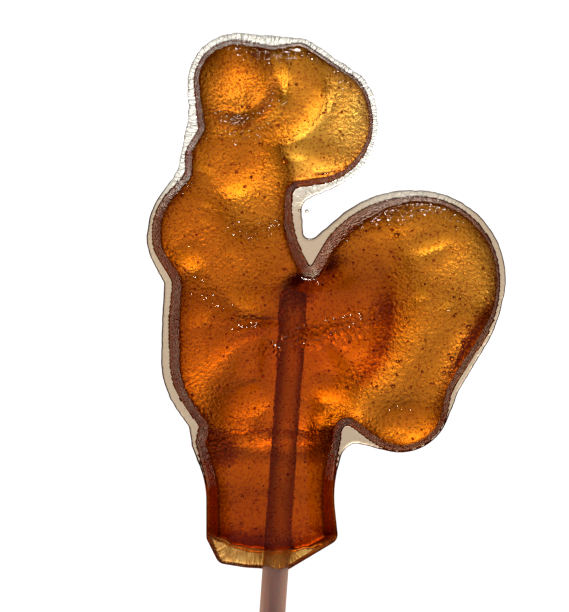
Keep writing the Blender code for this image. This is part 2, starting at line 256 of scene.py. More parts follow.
# Where the skin is smoother than elsewhere: the raised value is how much smoother.
SMOOTH_PLACES = (
    Pad("haunch", 4.6, 31.0, 11.0, 6.4, 28.0, 0.9, (4.0, 4.0, 4.0, 4.0)),
    Pad("trunk", -0.5, 8.0, 9.0, 8.5, 90.0, 0.75, (3.0, 6.0, 3.0, 6.0)),
    Pad("haunch_top", 11.0, 40.3, 6.0, 3.0, 25.0, 0.9, (2.0, 2.0, 2.0, 2.0)),
)

# Gentle slopes towards the foot, where the light from above the comb glows through; a glow is also painted
# there as a clearer, yellower skin.
GLEAMS = (
    Slope("comb_ring", 0.8, 65.7, -80.0, 4.6, 0.8, 1.15, 1.9),
    Slope("comb_ring_low", -6.8, 58.9, -95.0, 0.9, 1.3, 0.2, 1.8),
    Slope("comb_front", -5.2, 65.3, -86.0, 8.2, 2.3, 1.45, 5.2, 0.5),
    Slope("comb_low", 3.0, 55.3, -90.0, 1.8, 1.9, 0.45, 2.4),
    Slope("neck", -4.9, 50.6, -80.0, 1.8, 1.7, 0.48, 5.5),
    Slope("cheek", -9.1, 53.2, -125.0, 0.7, 1.0, 0.2, 1.0),
    Slope("breast", -11.0, 41.0, -75.0, 2.5, 1.1, 0.65, 1.8),
    Slope("breast_small", -6.0, 42.0, -90.0, 0.6, 0.4, 0.14, 0.6),
    Slope("throat_small", -9.2, 48.5, -110.0, 0.6, 0.7, 0.16, 0.7),
    Slope("throat_low", -9.6, 46.2, -70.0, 0.6, 0.4, 0.14, 0.6),
    Slope("chest", -3.7, 35.4, -108.0, 1.6, 2.6, 0.38, 2.8),
    Slope("chest_left", -9.8, 33.3, -52.0, 1.1, 1.1, 0.28, 2.2),
    Slope("loin_left", -2.3, 22.2, -90.0, 2.6, 1.7, 0.65, 1.8),
    Slope("loin_right", 6.0, 23.5, -72.0, 2.4, 1.5, 0.6, 2.0),
    Slope("loin_low", 7.8, 20.3, -88.0, 1.7, 3.2, 0.45, 1.5),
    Slope("tail_streak", 20.6, 43.0, -70.0, 1.2, 2.4, 0.33, 1.6),
    Slope("tail_glimmer", 19.1, 36.4, -80.0, 0.8, 1.0, 0.2, 1.0),
    Slope("tail_glimmer_right", 22.6, 35.2, -60.0, 0.7, 0.8, 0.16, 0.9),
    Slope("tail_tip", 18.5, 17.7, -90.0, 0.9, 0.9, 0.45, 1.8),
)

# Slopes the other way, which stay dark, on the hidden half alone: behind the notch, under the
# girdle, over the trunk and low on it, and beside the tail's burnt band.
SHADES = (
    Slope("notch", 4.7, 38.5, 126.0, 3.0, 3.6, 1.6, 2.0),
    Slope("girdle", -0.5, 18.1, 90.0, 0.9, 30.0, 0.4, 1.2),
    Slope("trunk_top", -0.5, 14.9, 90.0, 1.4, 30.0, 0.3, 2.5),
    Slope("trunk_low", -3.0, 4.9, 90.0, 1.6, 5.0, 0.5, 2.0),
    Slope("tail_band", 25.5, 29.0, 153.0, 1.8, 6.0, 0.9, 1.3),
)

# Slopes towards the comb on the upper half alone, where the window's light glints.
SHINES = (
    Slope("haunch_band", 6.2, 32.0, 108.0, 2.4, 9.0, 0.62, 3.4),
    Slope("tail_wisps", 15.2, 46.7, 108.0, 2.2, 3.2, 0.4, 1.8),
    Slope("comb_wisps", -2.0, 69.5, 90.0, 1.2, 6.0, 0.2, 1.0),
)

# Places where the skin is hammered into small facets that glint.
HAMMERED = (
    Pad("haunch", 6.0, 32.0, 8.4, 1.6, 18.0, 1.15, (3.0, 1.2, 2.0, 1.2)),
    Pad("tail_top", 15.4, 46.7, 3.8, 1.5, 16.0, 0.9, (2.0, 1.0, 2.0, 1.0)),
    Pad("comb_top", -1.0, 69.3, 7.5, 1.2, -6.0, 0.9, (2.0, 1.2, 2.0, 1.2)),
)

# Places where burnt grains crowd, the raised value being how closely; at the notch and on the tail's band
# they are painted shade too.
BURNT_AND_SHADE = (
    Pad("tail_band", 26.05, 28.95, 8.6, 1.5, 63.0, 1.3, (3.0, 1.3, 3.0, 1.3)),
    Pad("notch", 5.0, 38.4, 4.6, 1.9, 42.0, 1.3, (2.0, 1.5, 2.0, 1.5)),
    Pad("fold", -2.0, 32.2, 3.8, 0.9, 24.0, 0.6, (2.0, 0.8, 2.0, 0.8)),
    Pad("collar_left", -7.9, 16.2, 2.6, 2.9, 90.0, 1.0, (2.0, 2.0, 2.0, 2.0)),
    Pad("collar_right", 6.3, 16.4, 2.4, 2.9, 90.0, 1.0, (2.0, 2.0, 2.0, 2.0)),
    Pad("trunk_left", -7.3, 8.0, 5.0, 1.6, 90.0, 0.8, (2.0, 1.5, 2.0, 1.5)),
    Pad("trunk_right", 6.9, 8.0, 4.5, 1.6, 90.0, 0.7, (2.0, 1.5, 2.0, 1.5)),
    Pad("trunk_foot", -3.0, 3.8, 5.0, 1.3, -3.0, 0.8, (2.0, 1.2, 2.0, 1.2)),
    Pad("foot_right", 4.4, 4.6, 3.0, 1.2, 18.0, 0.6, (2.0, 1.2, 2.0, 1.2)),
    Pad("comb_first_low", -5.0, 58.9, 5.0, 0.9, 4.0, 0.5, (2.0, 0.8, 2.0, 0.8)),
    Pad("drip", 0.4, -0.1, 2.6, 0.9, 0.0, 1.3, (0.8, 0.8, 0.8, 0.8)),
    Pad("comb_oval", -5.2, 65.0, 4.6, 3.6, 80.0, 0.3, (1.5, 1.5, 1.5, 1.5)),
)

# Lines along which a highlight is painted as a clearer, yellower skin, the depth being how much.
PAINTED_GLOW_LINES = (
    Groove("comb_first", -5.6, 65.0, 6.9, -112.0, 46.0, 1.0, 0.5),
    Groove("comb_second", -0.3, 64.3, 7.6, -80.0, 12.0, 0.6, 1.1),
    Groove("comb_third", 1.5, 64.5, 9.5, -62.0, 4.0, 0.5, 1.1),
)

# Where shade is painted on the skin as a browner tint, the raised value or the depth being how far.
PAINTED_SHADE_PADS = (
    Pad("notch", 4.8, 38.8, 4.8, 2.2, 50.0, 0.5, (1.6, 1.4, 1.6, 1.4)),
    Pad("collar_left", -8.0, 16.4, 2.8, 2.6, 90.0, 0.45, (2.0, 2.0, 2.0, 2.0)),
    Pad("collar_right", 6.6, 16.6, 2.6, 2.2, 90.0, 0.4, (2.0, 2.0, 2.0, 2.0)),
    Pad("tail_band", 26.15, 29.3, 8.8, 1.35, 63.0, 1.3, (3.0, 1.0, 3.0, 1.0)),
    Pad("haunch", 6.5, 31.5, 10.5, 6.8, 30.0, 0.14, (4.0, 4.0, 4.0, 4.0)),
    Pad("belly_left", -9.5, 32.0, 8.0, 4.0, 90.0, 0.12, (4.0, 3.0, 4.0, 3.0)),
    Pad("trunk_middle", -3.5, 7.0, 5.0, 3.6, 90.0, 0.2, (4.0, 3.0, 4.0, 3.0)),
    Pad("comb_oval", -5.2, 65.0, 4.5, 3.5, 80.0, 0.1, (2.0, 2.0, 2.0, 2.0)),
)

PAINTED_SHADE_LINES = (
    Groove("comb_first", -5.4, 65.1, 5.2, 90.0, 450.0, 0.66, 1.0),
    Groove("haunch_edge", 2.1, 34.2, 12.0, -58.0, 24.0, 0.55, 1.6),
    Groove("haunch_rim", 2.1, 34.2, 13.0, -50.0, 34.0, 0.5, 0.4),
    Groove("collar", -0.5, -26.6, 42.0, 78.0, 102.0, 0.16, 0.9),
)

# Lobes of the comb with soft edges, pressed on both halves.
LOBES = (
    Scale("comb_second", -0.3, 64.3, 7.7, -105.0, 25.0, 0.58, 2.5, 3.4),
    Scale("comb_third", 1.5, 64.5, 9.6, -72.0, 6.0, 0.42, 2.4, 4.0),
)

# Crisp edges and creases, pressed on the shown half alone.
EDGES = (
    Scale("comb_first", -5.6, 65.0, 6.7, -108.0, -20.0, 0.3, 1.0, 3.8),
    Scale("comb_oval", -5.3, 65.0, 4.3, -125.0, 30.0, 0.3, 0.9, 1.8),
)

CREASES = (
    Groove("comb_crease", -0.3, 64.3, 7.9, -104.0, -55.0, 0.12, 0.2),
    Groove("comb_fold", 5.6, 64.0, 11.0, -93.0, -61.0, 0.45, 0.22),
    Groove("breast_fold", -9.9, 44.6, 4.9, 190.0, 238.0, 0.3, 0.25),
    Groove("breast_fold_outer", -10.3, 44.5, 5.5, 205.0, 245.0, 0.25, 0.25),
    Groove("girdle", -0.5, -26.6, 45.0, 79.0, 101.0, 0.12, 0.3),
)

# Lines of burnt grains, partly painted shade: the girdle, the one under the collar, and the haunch's right
# edge.
BURNT_AND_SHADE_LINES = (
    Groove("girdle", -0.5, -26.6, 45.2, 79.0, 101.0, 0.9, 0.45),
    Groove("collar", -0.5, -26.6, 41.8, 78.0, 102.0, 0.35, 0.9),
    Groove("haunch_edge", 2.1, 34.2, 12.2, -58.0, 24.0, 0.9, 1.4),
)

# Single bubbles that are plain to see: place, radius and depth under the skin.
LARGE_BUBBLES = (
    (1.1, 54.4, 0.50, 1.0), (16.0, 44.6, 0.38, 0.8), (-2.0, 56.6, 0.30, 0.7), (-10.6, 55.1, 0.24, 0.6),
    (16.2, 27.9, 0.26, 0.7), (15.6, 24.5, 0.30, 0.8), (19.9, 30.6, 0.22, 0.6), (23.4, 28.2, 0.34, 0.7),
    (24.9, 30.3, 0.30, 0.7), (25.6, 32.4, 0.34, 0.6), (22.4, 26.4, 0.26, 0.7), (17.2, 33.5, 0.22, 0.6),
    (21.4, 38.8, 0.24, 0.6), (12.9, 22.3, 0.24, 0.7), (7.8, 62.0, 0.26, 0.6), (9.3, 65.1, 0.22, 0.5),
    (-3.6, 61.6, 0.28, 0.6), (3.2, 48.0, 0.22, 0.6), (4.2, 47.9, 0.24, 0.7), (24.0, 45.6, 0.22, 0.6),
)


def smooth(value: np.ndarray, low: float, high: float) -> np.ndarray:
    """A soft step.

    Args:
        value: What is compared.
        low: Where the step starts.
        high: Where the step ends.

    Returns:
        0 below low and 1 above high, with a soft run between.
    """
    share = np.clip((value - low) / (high - low), 0.0, 1.0)
    return share * share * (3.0 - 2.0 * share)


def rough(points: np.ndarray, wavelength: float, pattern: Pattern) -> np.ndarray:
    """Gentle unevenness over the plan, from about -1 to 1, with rises one wavelength apart."""
    places = [Vector((x / wavelength, y / wavelength, pattern.value)) for x, y in points]
    return np.array([noise.noise(place) for place in places])


def off_axis(points: np.ndarray) -> np.ndarray:
    """How far each place is from the stick's axis."""
    return np.abs(points @ STICK_ACROSS)


def turned(points: np.ndarray, x: float, y: float, degrees: float) -> tuple[np.ndarray, np.ndarray]:
    """Measure places along a heading.

    Args:
        points: Places in the plan.
        x: Where the heading starts, to the right.
        y: Where it starts, up the figure.
        degrees: Where it points, anticlockwise from the right.

    Returns:
        How far each place is along the heading, and how far to the left of it.
    """
    heading = math.radians(degrees)
    right, up = points[:, 0] - x, points[:, 1] - y
    along = right * math.cos(heading) + up * math.sin(heading)
    return along, up * math.cos(heading) - right * math.sin(heading)


class Loop:
    """A closed line in the mould's plane, anticlockwise."""

    def __init__(self, points: np.ndarray) -> None:
        """Keep the line's points and what the tests need.

        Args:
            points: The line's points, in order, without the first one again.
        """
        self.points = points
        self.tree = kdtree.KDTree(len(points))
        for index, (x, y) in enumerate(points):
            self.tree.insert((x, y, 0.0), index)
        self.tree.balance()
        steps = np.linalg.norm(np.roll(points, -1, axis=0) - points, axis=1)
        self.run = np.concatenate([[0.0], np.cumsum(steps)[:-1]])

    @classmethod
    def round_circles(cls, circles: list[tuple[float, float, float, int]], step: float) -> "Loop":
        """A belt that runs anticlockwise round a chain of circles.

        Args:
            circles: Each circle as (x, y, radius, side), side -1 where the belt bends in.
            step: The distance between the belt's points.

        Returns:
            The belt.
        """
        headings = []
        for (x1, y1, r1, s1), (x2, y2, r2, s2) in zip(circles, circles[1:] + circles[:1]):
            across = s1 * r1 - s2 * r2
            along = math.sqrt((x2 - x1) ** 2 + (y2 - y1) ** 2 - across ** 2)
            headings.append(math.atan2(y2 - y1, x2 - x1) + math.atan2(across, along))
        corners = []
        for (x, y, radius, side), start, end in zip(circles, headings[-1:] + headings[:-1], headings):
            turn = (end - start) * side % math.tau
            count = max(1, math.ceil(turn * radius / step))
            for i in range(count + 1):
                heading = start + side * turn * i / count
                corners.append((x + side * radius * math.sin(heading),
                                y - side * radius * math.cos(heading)))
        points = []
        for (xa, ya), (xb, yb) in zip(corners, corners[1:] + corners[:1]):
            parts = max(1, round(math.dist((xa, ya), (xb, yb)) / step))
            points += [(xa + (xb - xa) * i / parts, ya + (yb - ya) * i / parts) for i in range(parts)]
        return cls(np.array(points))

    def nearest(self, points: np.ndarray) -> np.ndarray:
        """The index of the line's nearest point to each place."""
        return np.array([self.tree.find((x, y, 0.0))[1] for x, y in points], dtype=int)

    def distance(self, points: np.ndarray) -> np.ndarray:
        """Measure places from the line.

        Args:
            points: The places.

        Returns:
            How far each one is from the line.
        """
        index = self.nearest(points)
        best = np.full(len(points), np.inf)
        for shift in (-1, 0):
            start = self.points[(index + shift) % len(self.points)]
            run = self.points[(index + shift + 1) % len(self.points)] - start
            offset = points - start
            share = np.clip((offset * run).sum(1) / np.maximum((run ** 2).sum(1), TINY), 0.0, 1.0)
            best = np.minimum(best, np.linalg.norm(offset - share[:, None] * run, axis=1))
        return best

    def contains(self, points: np.ndarray, chunk: int = 4000) -> np.ndarray:
        """Which places the line goes round.

        Args:
            points: The places.
            chunk: How many are tested at a time.

        Returns:
            True at each place inside.
        """
        xa, ya = self.points[:, 0], self.points[:, 1]
        xb, yb = np.roll(xa, -1), np.roll(ya, -1)
        climb = np.where(yb == ya, TINY, yb - ya)
        found = []
        for start in range(0, len(points), chunk):
            x, y = points[start:start + chunk, :1], points[start:start + chunk, 1:]
            crosses = ((ya > y) != (yb > y)) & (x < (xb - xa) * (y - ya) / climb + xa)
            found.append(crosses.sum(1) % 2 == 1)
        return np.concatenate(found)

    def ring(self, inset: float, share_kept: float = 0.97) -> np.ndarray:
        """The line moved inward.

        Args:
            inset: How far.
            share_kept: How much of that distance a point has to keep from every part of the line.

        Returns:
            The moved points, without those that come too near another part of the line.
        """
        ahead = np.roll(self.points, -1, axis=0) - np.roll(self.points, 1, axis=0)
        normal = np.stack([-ahead[:, 1], ahead[:, 0]], axis=1) / np.linalg.norm(ahead, axis=1)[:, None]
        moved = self.points + normal * inset
        return moved[self.contains(moved) & (self.distance(moved) > share_kept * inset)]


@dataclass
class Relief:
    """How high the candy stands above the mould's plane, at every place in the plan.

    Steepest is how many millimetres a wall may rise for each one inwards.
    """

    flash_half: float = 0.30
    frayed_half: float = 0.17
    frayed_between: Span = (46.0, 54.0)
    flash_round: float = 0.3
    flash_edge: float = 0.1
    steepest: float = 3.0
    steepest_comb: float = 3.4
    crown_width: float = 4.5
    lip_half: float = 1.4
    lip_over_stick: float = 0.8
    lip_stick_width: float = 2.4
    lip_wall: float = 0.45
    lip_softness: float = 1.0
    lip_middle: float = 2.7
    lip_ends: float = 4.7
    lip_half_width: float = 8.3
    lip_waver: float = 0.5
    lip_wavelength: float = 1.5
    station_reach: float = 4.5
    station_fall: float = 2.0
    groove_runout: float = 3.0
    pad_join: float = 4.0

    def spread(self, points: np.ndarray) -> np.ndarray:
        """Blend the stations over the plan, the nearest counting most.

        Args:
            points: Places in the plan.

        Returns:
            Half the thickness, the wall's width and the crown, each at every place.
        """
        weights = []
        for station in STATIONS:
            gap = (points[:, 0] - station.x) ** 2 + (points[:, 1] - station.y) ** 2
            weights.append((gap + self.station_reach) ** -self.station_fall)
        shares = np.array(weights) / np.sum(weights, axis=0)
        values = np.array([(station.half, station.wall, station.crown) for station in STATIONS])
        return (shares.T @ values).T

    def pad(self, pad: Pad, points: np.ndarray) -> np.ndarray:
        """Raise one pad.

        Args:
            pad: The pad.
            points: Places in the plan.

        Returns:
            What the pad adds at each place.
        """
        along, across = turned(points, pad.x, pad.y, pad.turn)
        along, across = along / pad.long, across / pad.short
        reach = np.maximum(np.hypot(along, across), TINY)
        shares = [np.maximum(side / reach, 0.0) ** 2 for side in (along, across, -along, -across)]
        soft = sum(share * softness for share, softness in zip(shares, pad.soft))
        rise = pad.raised * smooth((1.0 - reach) * pad.short / soft, -0.5, 0.5)
        return rise * smooth(along, -1.0, -1.0 + pad.fade) if pad.fade else rise

    def slope(self, slope: Slope, points: np.ndarray) -> np.ndarray:
        """Tilt the surface at one slope.

        Args:
            slope: The slope.
            points: Places in the plan.

        Returns:
            What the slope adds at each place, above zero before it and below zero after it.
        """
        along, across = turned(points, slope.x, slope.y, slope.heading)
        end = slope.run / 2
        level = smooth(along, -end - slope.recovery, -end) / 2 - smooth(along, -end, end)
        level += smooth(along, end, end + slope.recovery) / 2
        return slope.drop * level * np.exp(-(across / slope.width) ** 2)

    def scale(self, scale: Scale, points: np.ndarray) -> np.ndarray:
        """Press in the edge of one lobe.

        Args:
            scale: The edge.
            points: Places in the plan.

        Returns:
            What it takes away at each place, most just outside the edge.
        """
        reach, window = self.arc(scale, points, scale.recovery)
        level = smooth(reach, -scale.run, 0.0) * (1.0 - smooth(reach, 0.0, scale.recovery))
        return scale.drop * level * window

    def groove(self, groove: Groove, points: np.ndarray) -> np.ndarray:
        """How deep one groove is at each place, running out softly at its ends."""
        reach, window = self.arc(groove, points, self.groove_runout * groove.width)
        return groove.depth * np.exp(-(reach / groove.width) ** 2) * window

    def arc(self, arc: Scale | Groove, points: np.ndarray, runout: float) -> tuple[np.ndarray, np.ndarray]:
        """Measure places from an arc.

        Args:
            arc: The edge or the groove that follows it.
            points: Places in the plan.
            runout: How far from its ends the arc runs out.

        Returns:
            How far outside the arc's circle each place is, and 1 where the arc is whole, falling
            softly to 0 at its two ends.
        """
        x, y = points[:, 0] - arc.x, points[:, 1] - arc.y
        angle = (np.degrees(np.arctan2(y, x)) - arc.start) % 360.0 + arc.start
        run = np.radians(np.minimum(angle - arc.start, arc.end - angle)) * arc.radius
        return np.hypot(x, y) - arc.radius, smooth(run, 0.0, runout)

    def highest(self, pads: tuple[Pad, ...], points: np.ndarray) -> np.ndarray:
        """What the highest of several pads adds at each place."""
        return np.max([self.pad(pad, points) for pad in pads], axis=0)

    def lines(self, grooves: tuple[Groove, ...], points: np.ndarray) -> np.ndarray:
        """How deep several grooves are together at each place."""
        return np.sum([self.groove(groove, points) for groove in grooves], axis=0)

    def mouth(self, points: np.ndarray) -> np.ndarray:
        """Find the trunk's lower edge, under which only the lip is left.

        Args:
            points: Places in the plan.

        Returns:
            How high up the figure the edge is at each place.
        """
        across = points[:, 0] / self.lip_half_width
        mouth = self.lip_middle + (self.lip_ends - self.lip_middle) * across ** 2
        return mouth + self.lip_waver * rough(points, self.lip_wavelength, Pattern.MOUTH)

    def lip(self, points: np.ndarray) -> np.ndarray:
        """Where the candy is only a lip round the stick, from 0 to 1."""
        return smooth(self.mouth(points) - points[:, 1], -self.lip_softness / 2, self.lip_softness / 2)

    def fraying(self, points: np.ndarray) -> np.ndarray:
        """How frayed the flash is: not at all below the neck, and all of it at the comb."""
        return smooth(points[:, 1], *self.frayed_between)

    def flash(self, points: np.ndarray, margin: np.ndarray) -> np.ndarray:
        """Make the flash round at its rim.

        Args:
            points: Places in the plan.
            margin: How far in from the rim each one is.

        Returns:
            Half the flash's thickness at each place.
        """
        share = 1.0 - np.clip(margin / self.flash_round, 0.0, 1.0)
        half = self.flash_half + (self.frayed_half - self.flash_half) * self.fraying(points)
        return half + (self.flash_edge - half) * share ** 2

    def half_thickness(self, points: np.ndarray, inset: np.ndarray, base: np.ndarray,
                       shown: bool) -> np.ndarray:
        """The height of the figure itself.

        Args:
            points: Places inside the outline.
            inset: How far in from the outline each one is.
            base: Half the thickness of the flash there.
            shown: Whether this is the shown half, which has the crisp edges and creases too.

        Returns:
            The height above the mould's plane.
        """
        half, wall, crown = self.spread(points)
        haunch = sum(self.pad(pad, points) ** self.pad_join for pad in HAUNCH)
        half += haunch ** (1.0 / self.pad_join)
        half += sum(self.slope(slope, points) for slope in GLEAMS)
        half -= sum(self.scale(scale, points) for scale in LOBES)
        if shown:
            half -= sum(self.scale(scale, points) for scale in EDGES)
            half -= self.lines(CREASES, points)
        else:
            half += sum(self.slope(slope, points) for slope in SHADES)
        lip = self.lip(points)
        over_stick = np.exp(-(off_axis(points) / self.lip_stick_width) ** 2)
        half += (self.lip_half + self.lip_over_stick * over_stick - half) * lip
        crown = crown * (1.0 - lip)
        wall = wall + (self.lip_wall - wall) * lip
        steepest = self.steepest + (self.steepest_comb - self.steepest) * self.fraying(points)
        wall = np.maximum(wall, (half - crown - base) / steepest)
        upright = np.clip(inset / wall, 0.0, 1.0)
        domed = 1.0 - (1.0 - np.clip(inset / self.crown_width, 0.0, 1.0)) ** 2
        return base + (half - crown - base) * upright + crown * domed


@dataclass
class Places:
    """Places in the plan, with how far in from the flash's rim and from the outline each one is."""

    points: np.ndarray
    margin: np.ndarray
    inset: np.ndarray

    @property
    def inside(self) -> np.ndarray:
        """Which places are inside the outline."""
        return self.inset > ON_LINE


@dataclass
class Skin:
    """How the skin is at each place, in values that mostly run from 0 to 1.

    Ends are where a soft step starts and where it ends.
    """

    relief: Relief
    stick_ends: Span = (1.5, 3.5)
    flash_ends: Span = (0.02, 0.12)
    grain_over_stick: float = 0.3
    grain_on_flash: float = 0.2
    comb_grain: float = 0.35
    comb_ends: Span = (56.5, 58.5)
    wall_ends: Span = (0.5, 1.2)
    wall_waver: float = 0.35
    wall_wavelength: float = 1.1
    edge_most: float = 1.3
    # Burnt grains that also paint shade, and shade painted as a browner tint, near the edges and on a line
    # over the trunk's lower edge:
    burnt_and_shade_ends: Span = (0.4, 2.8)
    burnt_and_shade_most: float = 1.4
    mouth_over: float = 0.5
    mouth_width: float = 1.0
    mouth_burnt_and_shade: float = 1.2
    mouth_painted_shade: float = 0.9
    painted_shade_edge: float = 0.5
    painted_shade_reach: float = 1.8
    # How far past a gleam its painted glow reaches:
    painted_glow_margin: float = 0.3

    def unevenness(self, points: np.ndarray) -> np.ndarray:
        """How uneven the skin is, less so at the smooth places."""
        return 1.0 - self.relief.highest(SMOOTH_PLACES, points)

    def off_stick(self, points: np.ndarray) -> np.ndarray:
        """0 over the stick and 1 beside it."""
        return smooth(off_axis(points), *self.stick_ends)

    def grain(self, points: np.ndarray, on_flash: np.ndarray) -> np.ndarray:
        """How pebbled the skin is.

        Args:
            points: Places in the plan.
            on_flash: Where the flash is.

        Returns:
            The value at each place, a little over 1 at the comb.
        """
        grain = self.unevenness(points)
        grain *= self.grain_over_stick + (1.0 - self.grain_over_stick) * self.off_stick(points)
        grain *= 1.0 - (1.0 - self.grain_on_flash) * on_flash
        return grain * (1.0 + self.comb_grain * smooth(points[:, 1], *self.comb_ends))

    def clearness(self, slope: Slope, points: np.ndarray) -> np.ndarray:
        """Paint a glow at a gleam, as a clearer, yellower skin.

        Args:
            slope: The gleam's slope.
            points: Places in the plan.

        Returns:
            How much glow is painted at each place.
        """
        along, across = turned(points, slope.x, slope.y, slope.heading)
        along = along / (slope.run / 2 + self.painted_glow_margin)
        return slope.clear * np.exp(-along ** 2 - (across / slope.width) ** 2)

    def mouth_line(self, points: np.ndarray) -> np.ndarray:
        """1 on a line just over the trunk's lower edge, and softly less beside it."""
        over = points[:, 1] - self.relief.mouth(points) - self.mouth_over
        return np.exp(-(over / self.mouth_width) ** 2)

    def burnt(self, places: Places, edge: np.ndarray) -> np.ndarray:
        """How closely burnt grains crowd, and closer where they paint shade: near the edges, at the notch
        and on the tail's band.

        Args:
            places: Places in the plan.
            edge: How wide the edge walls count there.

        Returns:
            The value at each place, a little over 1 at most.
        """
        burnt = np.sum([self.relief.pad(pad, places.points) for pad in BURNT_AND_SHADE], axis=0)
        burnt += self.relief.lines(BURNT_AND_SHADE_LINES, places.points)
        burnt = np.maximum(burnt, 1.0 - smooth(places.inset / edge, *self.burnt_and_shade_ends))
        burnt += self.mouth_burnt_and_shade * self.mouth_line(places.points)
        return np.clip(burnt, 0.0, self.burnt_and_shade_most)

    def painted_shade(self, places: Places, edge: np.ndarray) -> np.ndarray:
        """How much shade is painted on the skin, as a browner tint.

        Args:
            places: Places in the plan.
            edge: How wide the edge walls count there.

        Returns:
            The value at each place.
        """
        painted_shade = self.relief.highest(PAINTED_SHADE_PADS, places.points)
        painted_shade += self.relief.lines(PAINTED_SHADE_LINES, places.points)
        painted_shade += self.mouth_painted_shade * self.mouth_line(places.points)
        at_edge = 1.0 - smooth(places.inset, edge, edge + self.painted_shade_reach)
        return np.clip(np.maximum(painted_shade, self.painted_shade_edge * at_edge), 0.0, 1.0)

    def marks(self, places: Places) -> dict[str, np.ndarray]:
        """Everything that the finish reads of the skin.

        Args:
            places: Places in the plan.

        Returns:
            The values at every place, by name.
        """
        points, inset = places.points, places.inset
        on_flash = 1.0 - smooth(inset, *self.flash_ends)
        on_lip = self.relief.lip(points) ** 2 * places.inside
        _, wall, _ = self.relief.spread(points)
        edge = np.minimum(wall, self.edge_most)
        waver = self.wall_waver * rough(points, self.wall_wavelength, Pattern.WALL)
        on_wall = (1.0 - smooth(inset / wall + waver, *self.wall_ends)) * places.inside
        # A painted glow at the gleams and a painted highlight along the comb's lines, as clearer skin.
        clear = sum(self.clearness(slope, points) for slope in GLEAMS)
        clear += self.relief.lines(PAINTED_GLOW_LINES, points)
        return {
            "flash": on_flash,
            "lip": on_lip,
            "frayed": np.maximum(on_flash * self.relief.fraying(points), on_lip),
            # Where the edge walls are, which the finish roughens and tints dark as painted shade.
            "wall": on_wall * (1.0 - on_lip),
            "grain": self.grain(points, on_flash),
            # Burnt grains, which also paint shade, then shade painted as a browner tint:
            "burnt": self.burnt(places, edge) * (1.0 - on_flash),
            "painted_shade": self.painted_shade(places, edge) * (1.0 - on_flash),
            "clear": np.clip(clear, 0.0, 1.0) * (1.0 - on_flash),
            "hammered": self.relief.highest(HAMMERED, points) * (1.0 - on_flash),
        }


class Tree:
    """A node tree that is wired up in the order in which it is read."""

    def __init__(self, tree: bpy.types.NodeTree) -> None:
        """Start from an empty tree."""
        self.tree = tree
        tree.nodes.clear()

    def add(self, kind: str, inputs: dict | None = None, **settings: object) -> bpy.types.Node:
        """Add a node.

        Args:
            kind: The node's type name.
            inputs: What goes into each input, a value or another node's socket, by name or index.
            settings: The node's own properties.

        Returns:
            The node.
        """
        node = self.tree.nodes.new(kind)
        for name, value in settings.items():
            setattr(node, name, value)
        for name, value in (inputs or {}).items():
            socket = node.inputs[name]
            if isinstance(value, bpy.types.NodeSocket):
                self.tree.links.new(value, socket)
            else:
                socket.default_value = (*value, 1.0) if socket.type == 'RGBA' else value
        return node

    def millimetres(self) -> Socket:
        """Object coordinates in millimetres."""
        where = self.add("ShaderNodeTexCoord").outputs["Object"]
        return self.add("ShaderNodeVectorMath", {0: where, "Scale": 1.0 / MM}, operation='SCALE').outputs[0]

    def noise(self, where: Socket, wavelength: float, detail: float) -> Socket:
        """A noise of the given wavelength in millimetres."""
        made = self.add("ShaderNodeTexNoise", {"Vector": where, "Scale": 1.0 / wavelength, "Detail": detail})
        return made.outputs["Fac"]

    def fade(self, value: Socket, low: float, high: float, start: float = 0.0, end: float = 1.0) -> Socket:
        """A straight run from start, where the value is low, to end, where it is high."""
        made = self.add("ShaderNodeMapRange", {"Value": value, "From Min": low, "From Max": high,
                                               "To Min": start, "To Max": end})
        return made.outputs["Result"]

    def math(self, operation: str, first: object, *others: object) -> Socket:
        """One sum on two or more values or sockets, worked out from the first to the last."""
        for other in others:
            first = self.add("ShaderNodeMath", {0: first, 1: other}, operation=operation).outputs[0]
        return first

    def blend(self, share: object, first: object, second: object, how: str = 'MIX') -> Socket:
        """A colour between two colours or sockets, or between the first and both together."""
        made = self.add("ShaderNodeMix", {0: share, 6: first, 7: second}, data_type='RGBA', blend_type=how)
        return made.outputs[2]

    def bell(self, value: Socket, width: float) -> Socket:
        """1 where the value is zero, falling off as a bell does over the width."""
        share = self.math('DIVIDE', value, width)
        return self.math('EXPONENT', self.math('MULTIPLY', share, share, -1.0), 0.0)

    def attribute(self, name: str) -> Socket:
        """A value kept on the mesh."""
        return self.add("ShaderNodeAttribute", attribute_name=name).outputs["Fac"]


class MaterialTree(Tree):
    """The node tree of a new material."""

    def __init__(self, name: str) -> None:
        """Start from a new material with no nodes.

        Args:
            name: The material's name.
        """
        self.material = bpy.data.materials.new(name)
        self.material.use_nodes = True
        super().__init__(self.material.node_tree)

    def bump(self, height: Socket, distance: float, strength: float = 1.0,
             below: Socket | None = None) -> Socket:
        """Press a height into the surface.

        Args:
            height: The height, from 0 to 1.
            distance: How many millimetres a height of 1 stands for.
            strength: How much of it is seen.
            below: The surface that it is pressed into, where that isn't the plain one.

        Returns:
            The new surface's normal.
        """
        inputs = {"Strength": strength, "Distance": distance * MM, "Height": height}
        if below is not None:
            inputs["Normal"] = below
        return self.add("ShaderNodeBump", inputs).outputs[0]

    def shaded(self, inputs: dict, filled: Socket | None = None) -> bpy.types.Material:
        """Finish the material.

        Args:
            inputs: What goes into the shader's inputs, by name.
            filled: What fills the piece, if anything does.

        Returns:
            The material.
        """
        ends = {"Surface": self.add("ShaderNodeBsdfPrincipled", inputs).outputs[0]}
        if filled is not None:
            ends["Volume"] = filled
        self.add("ShaderNodeOutputMaterial", ends)
        return self.material


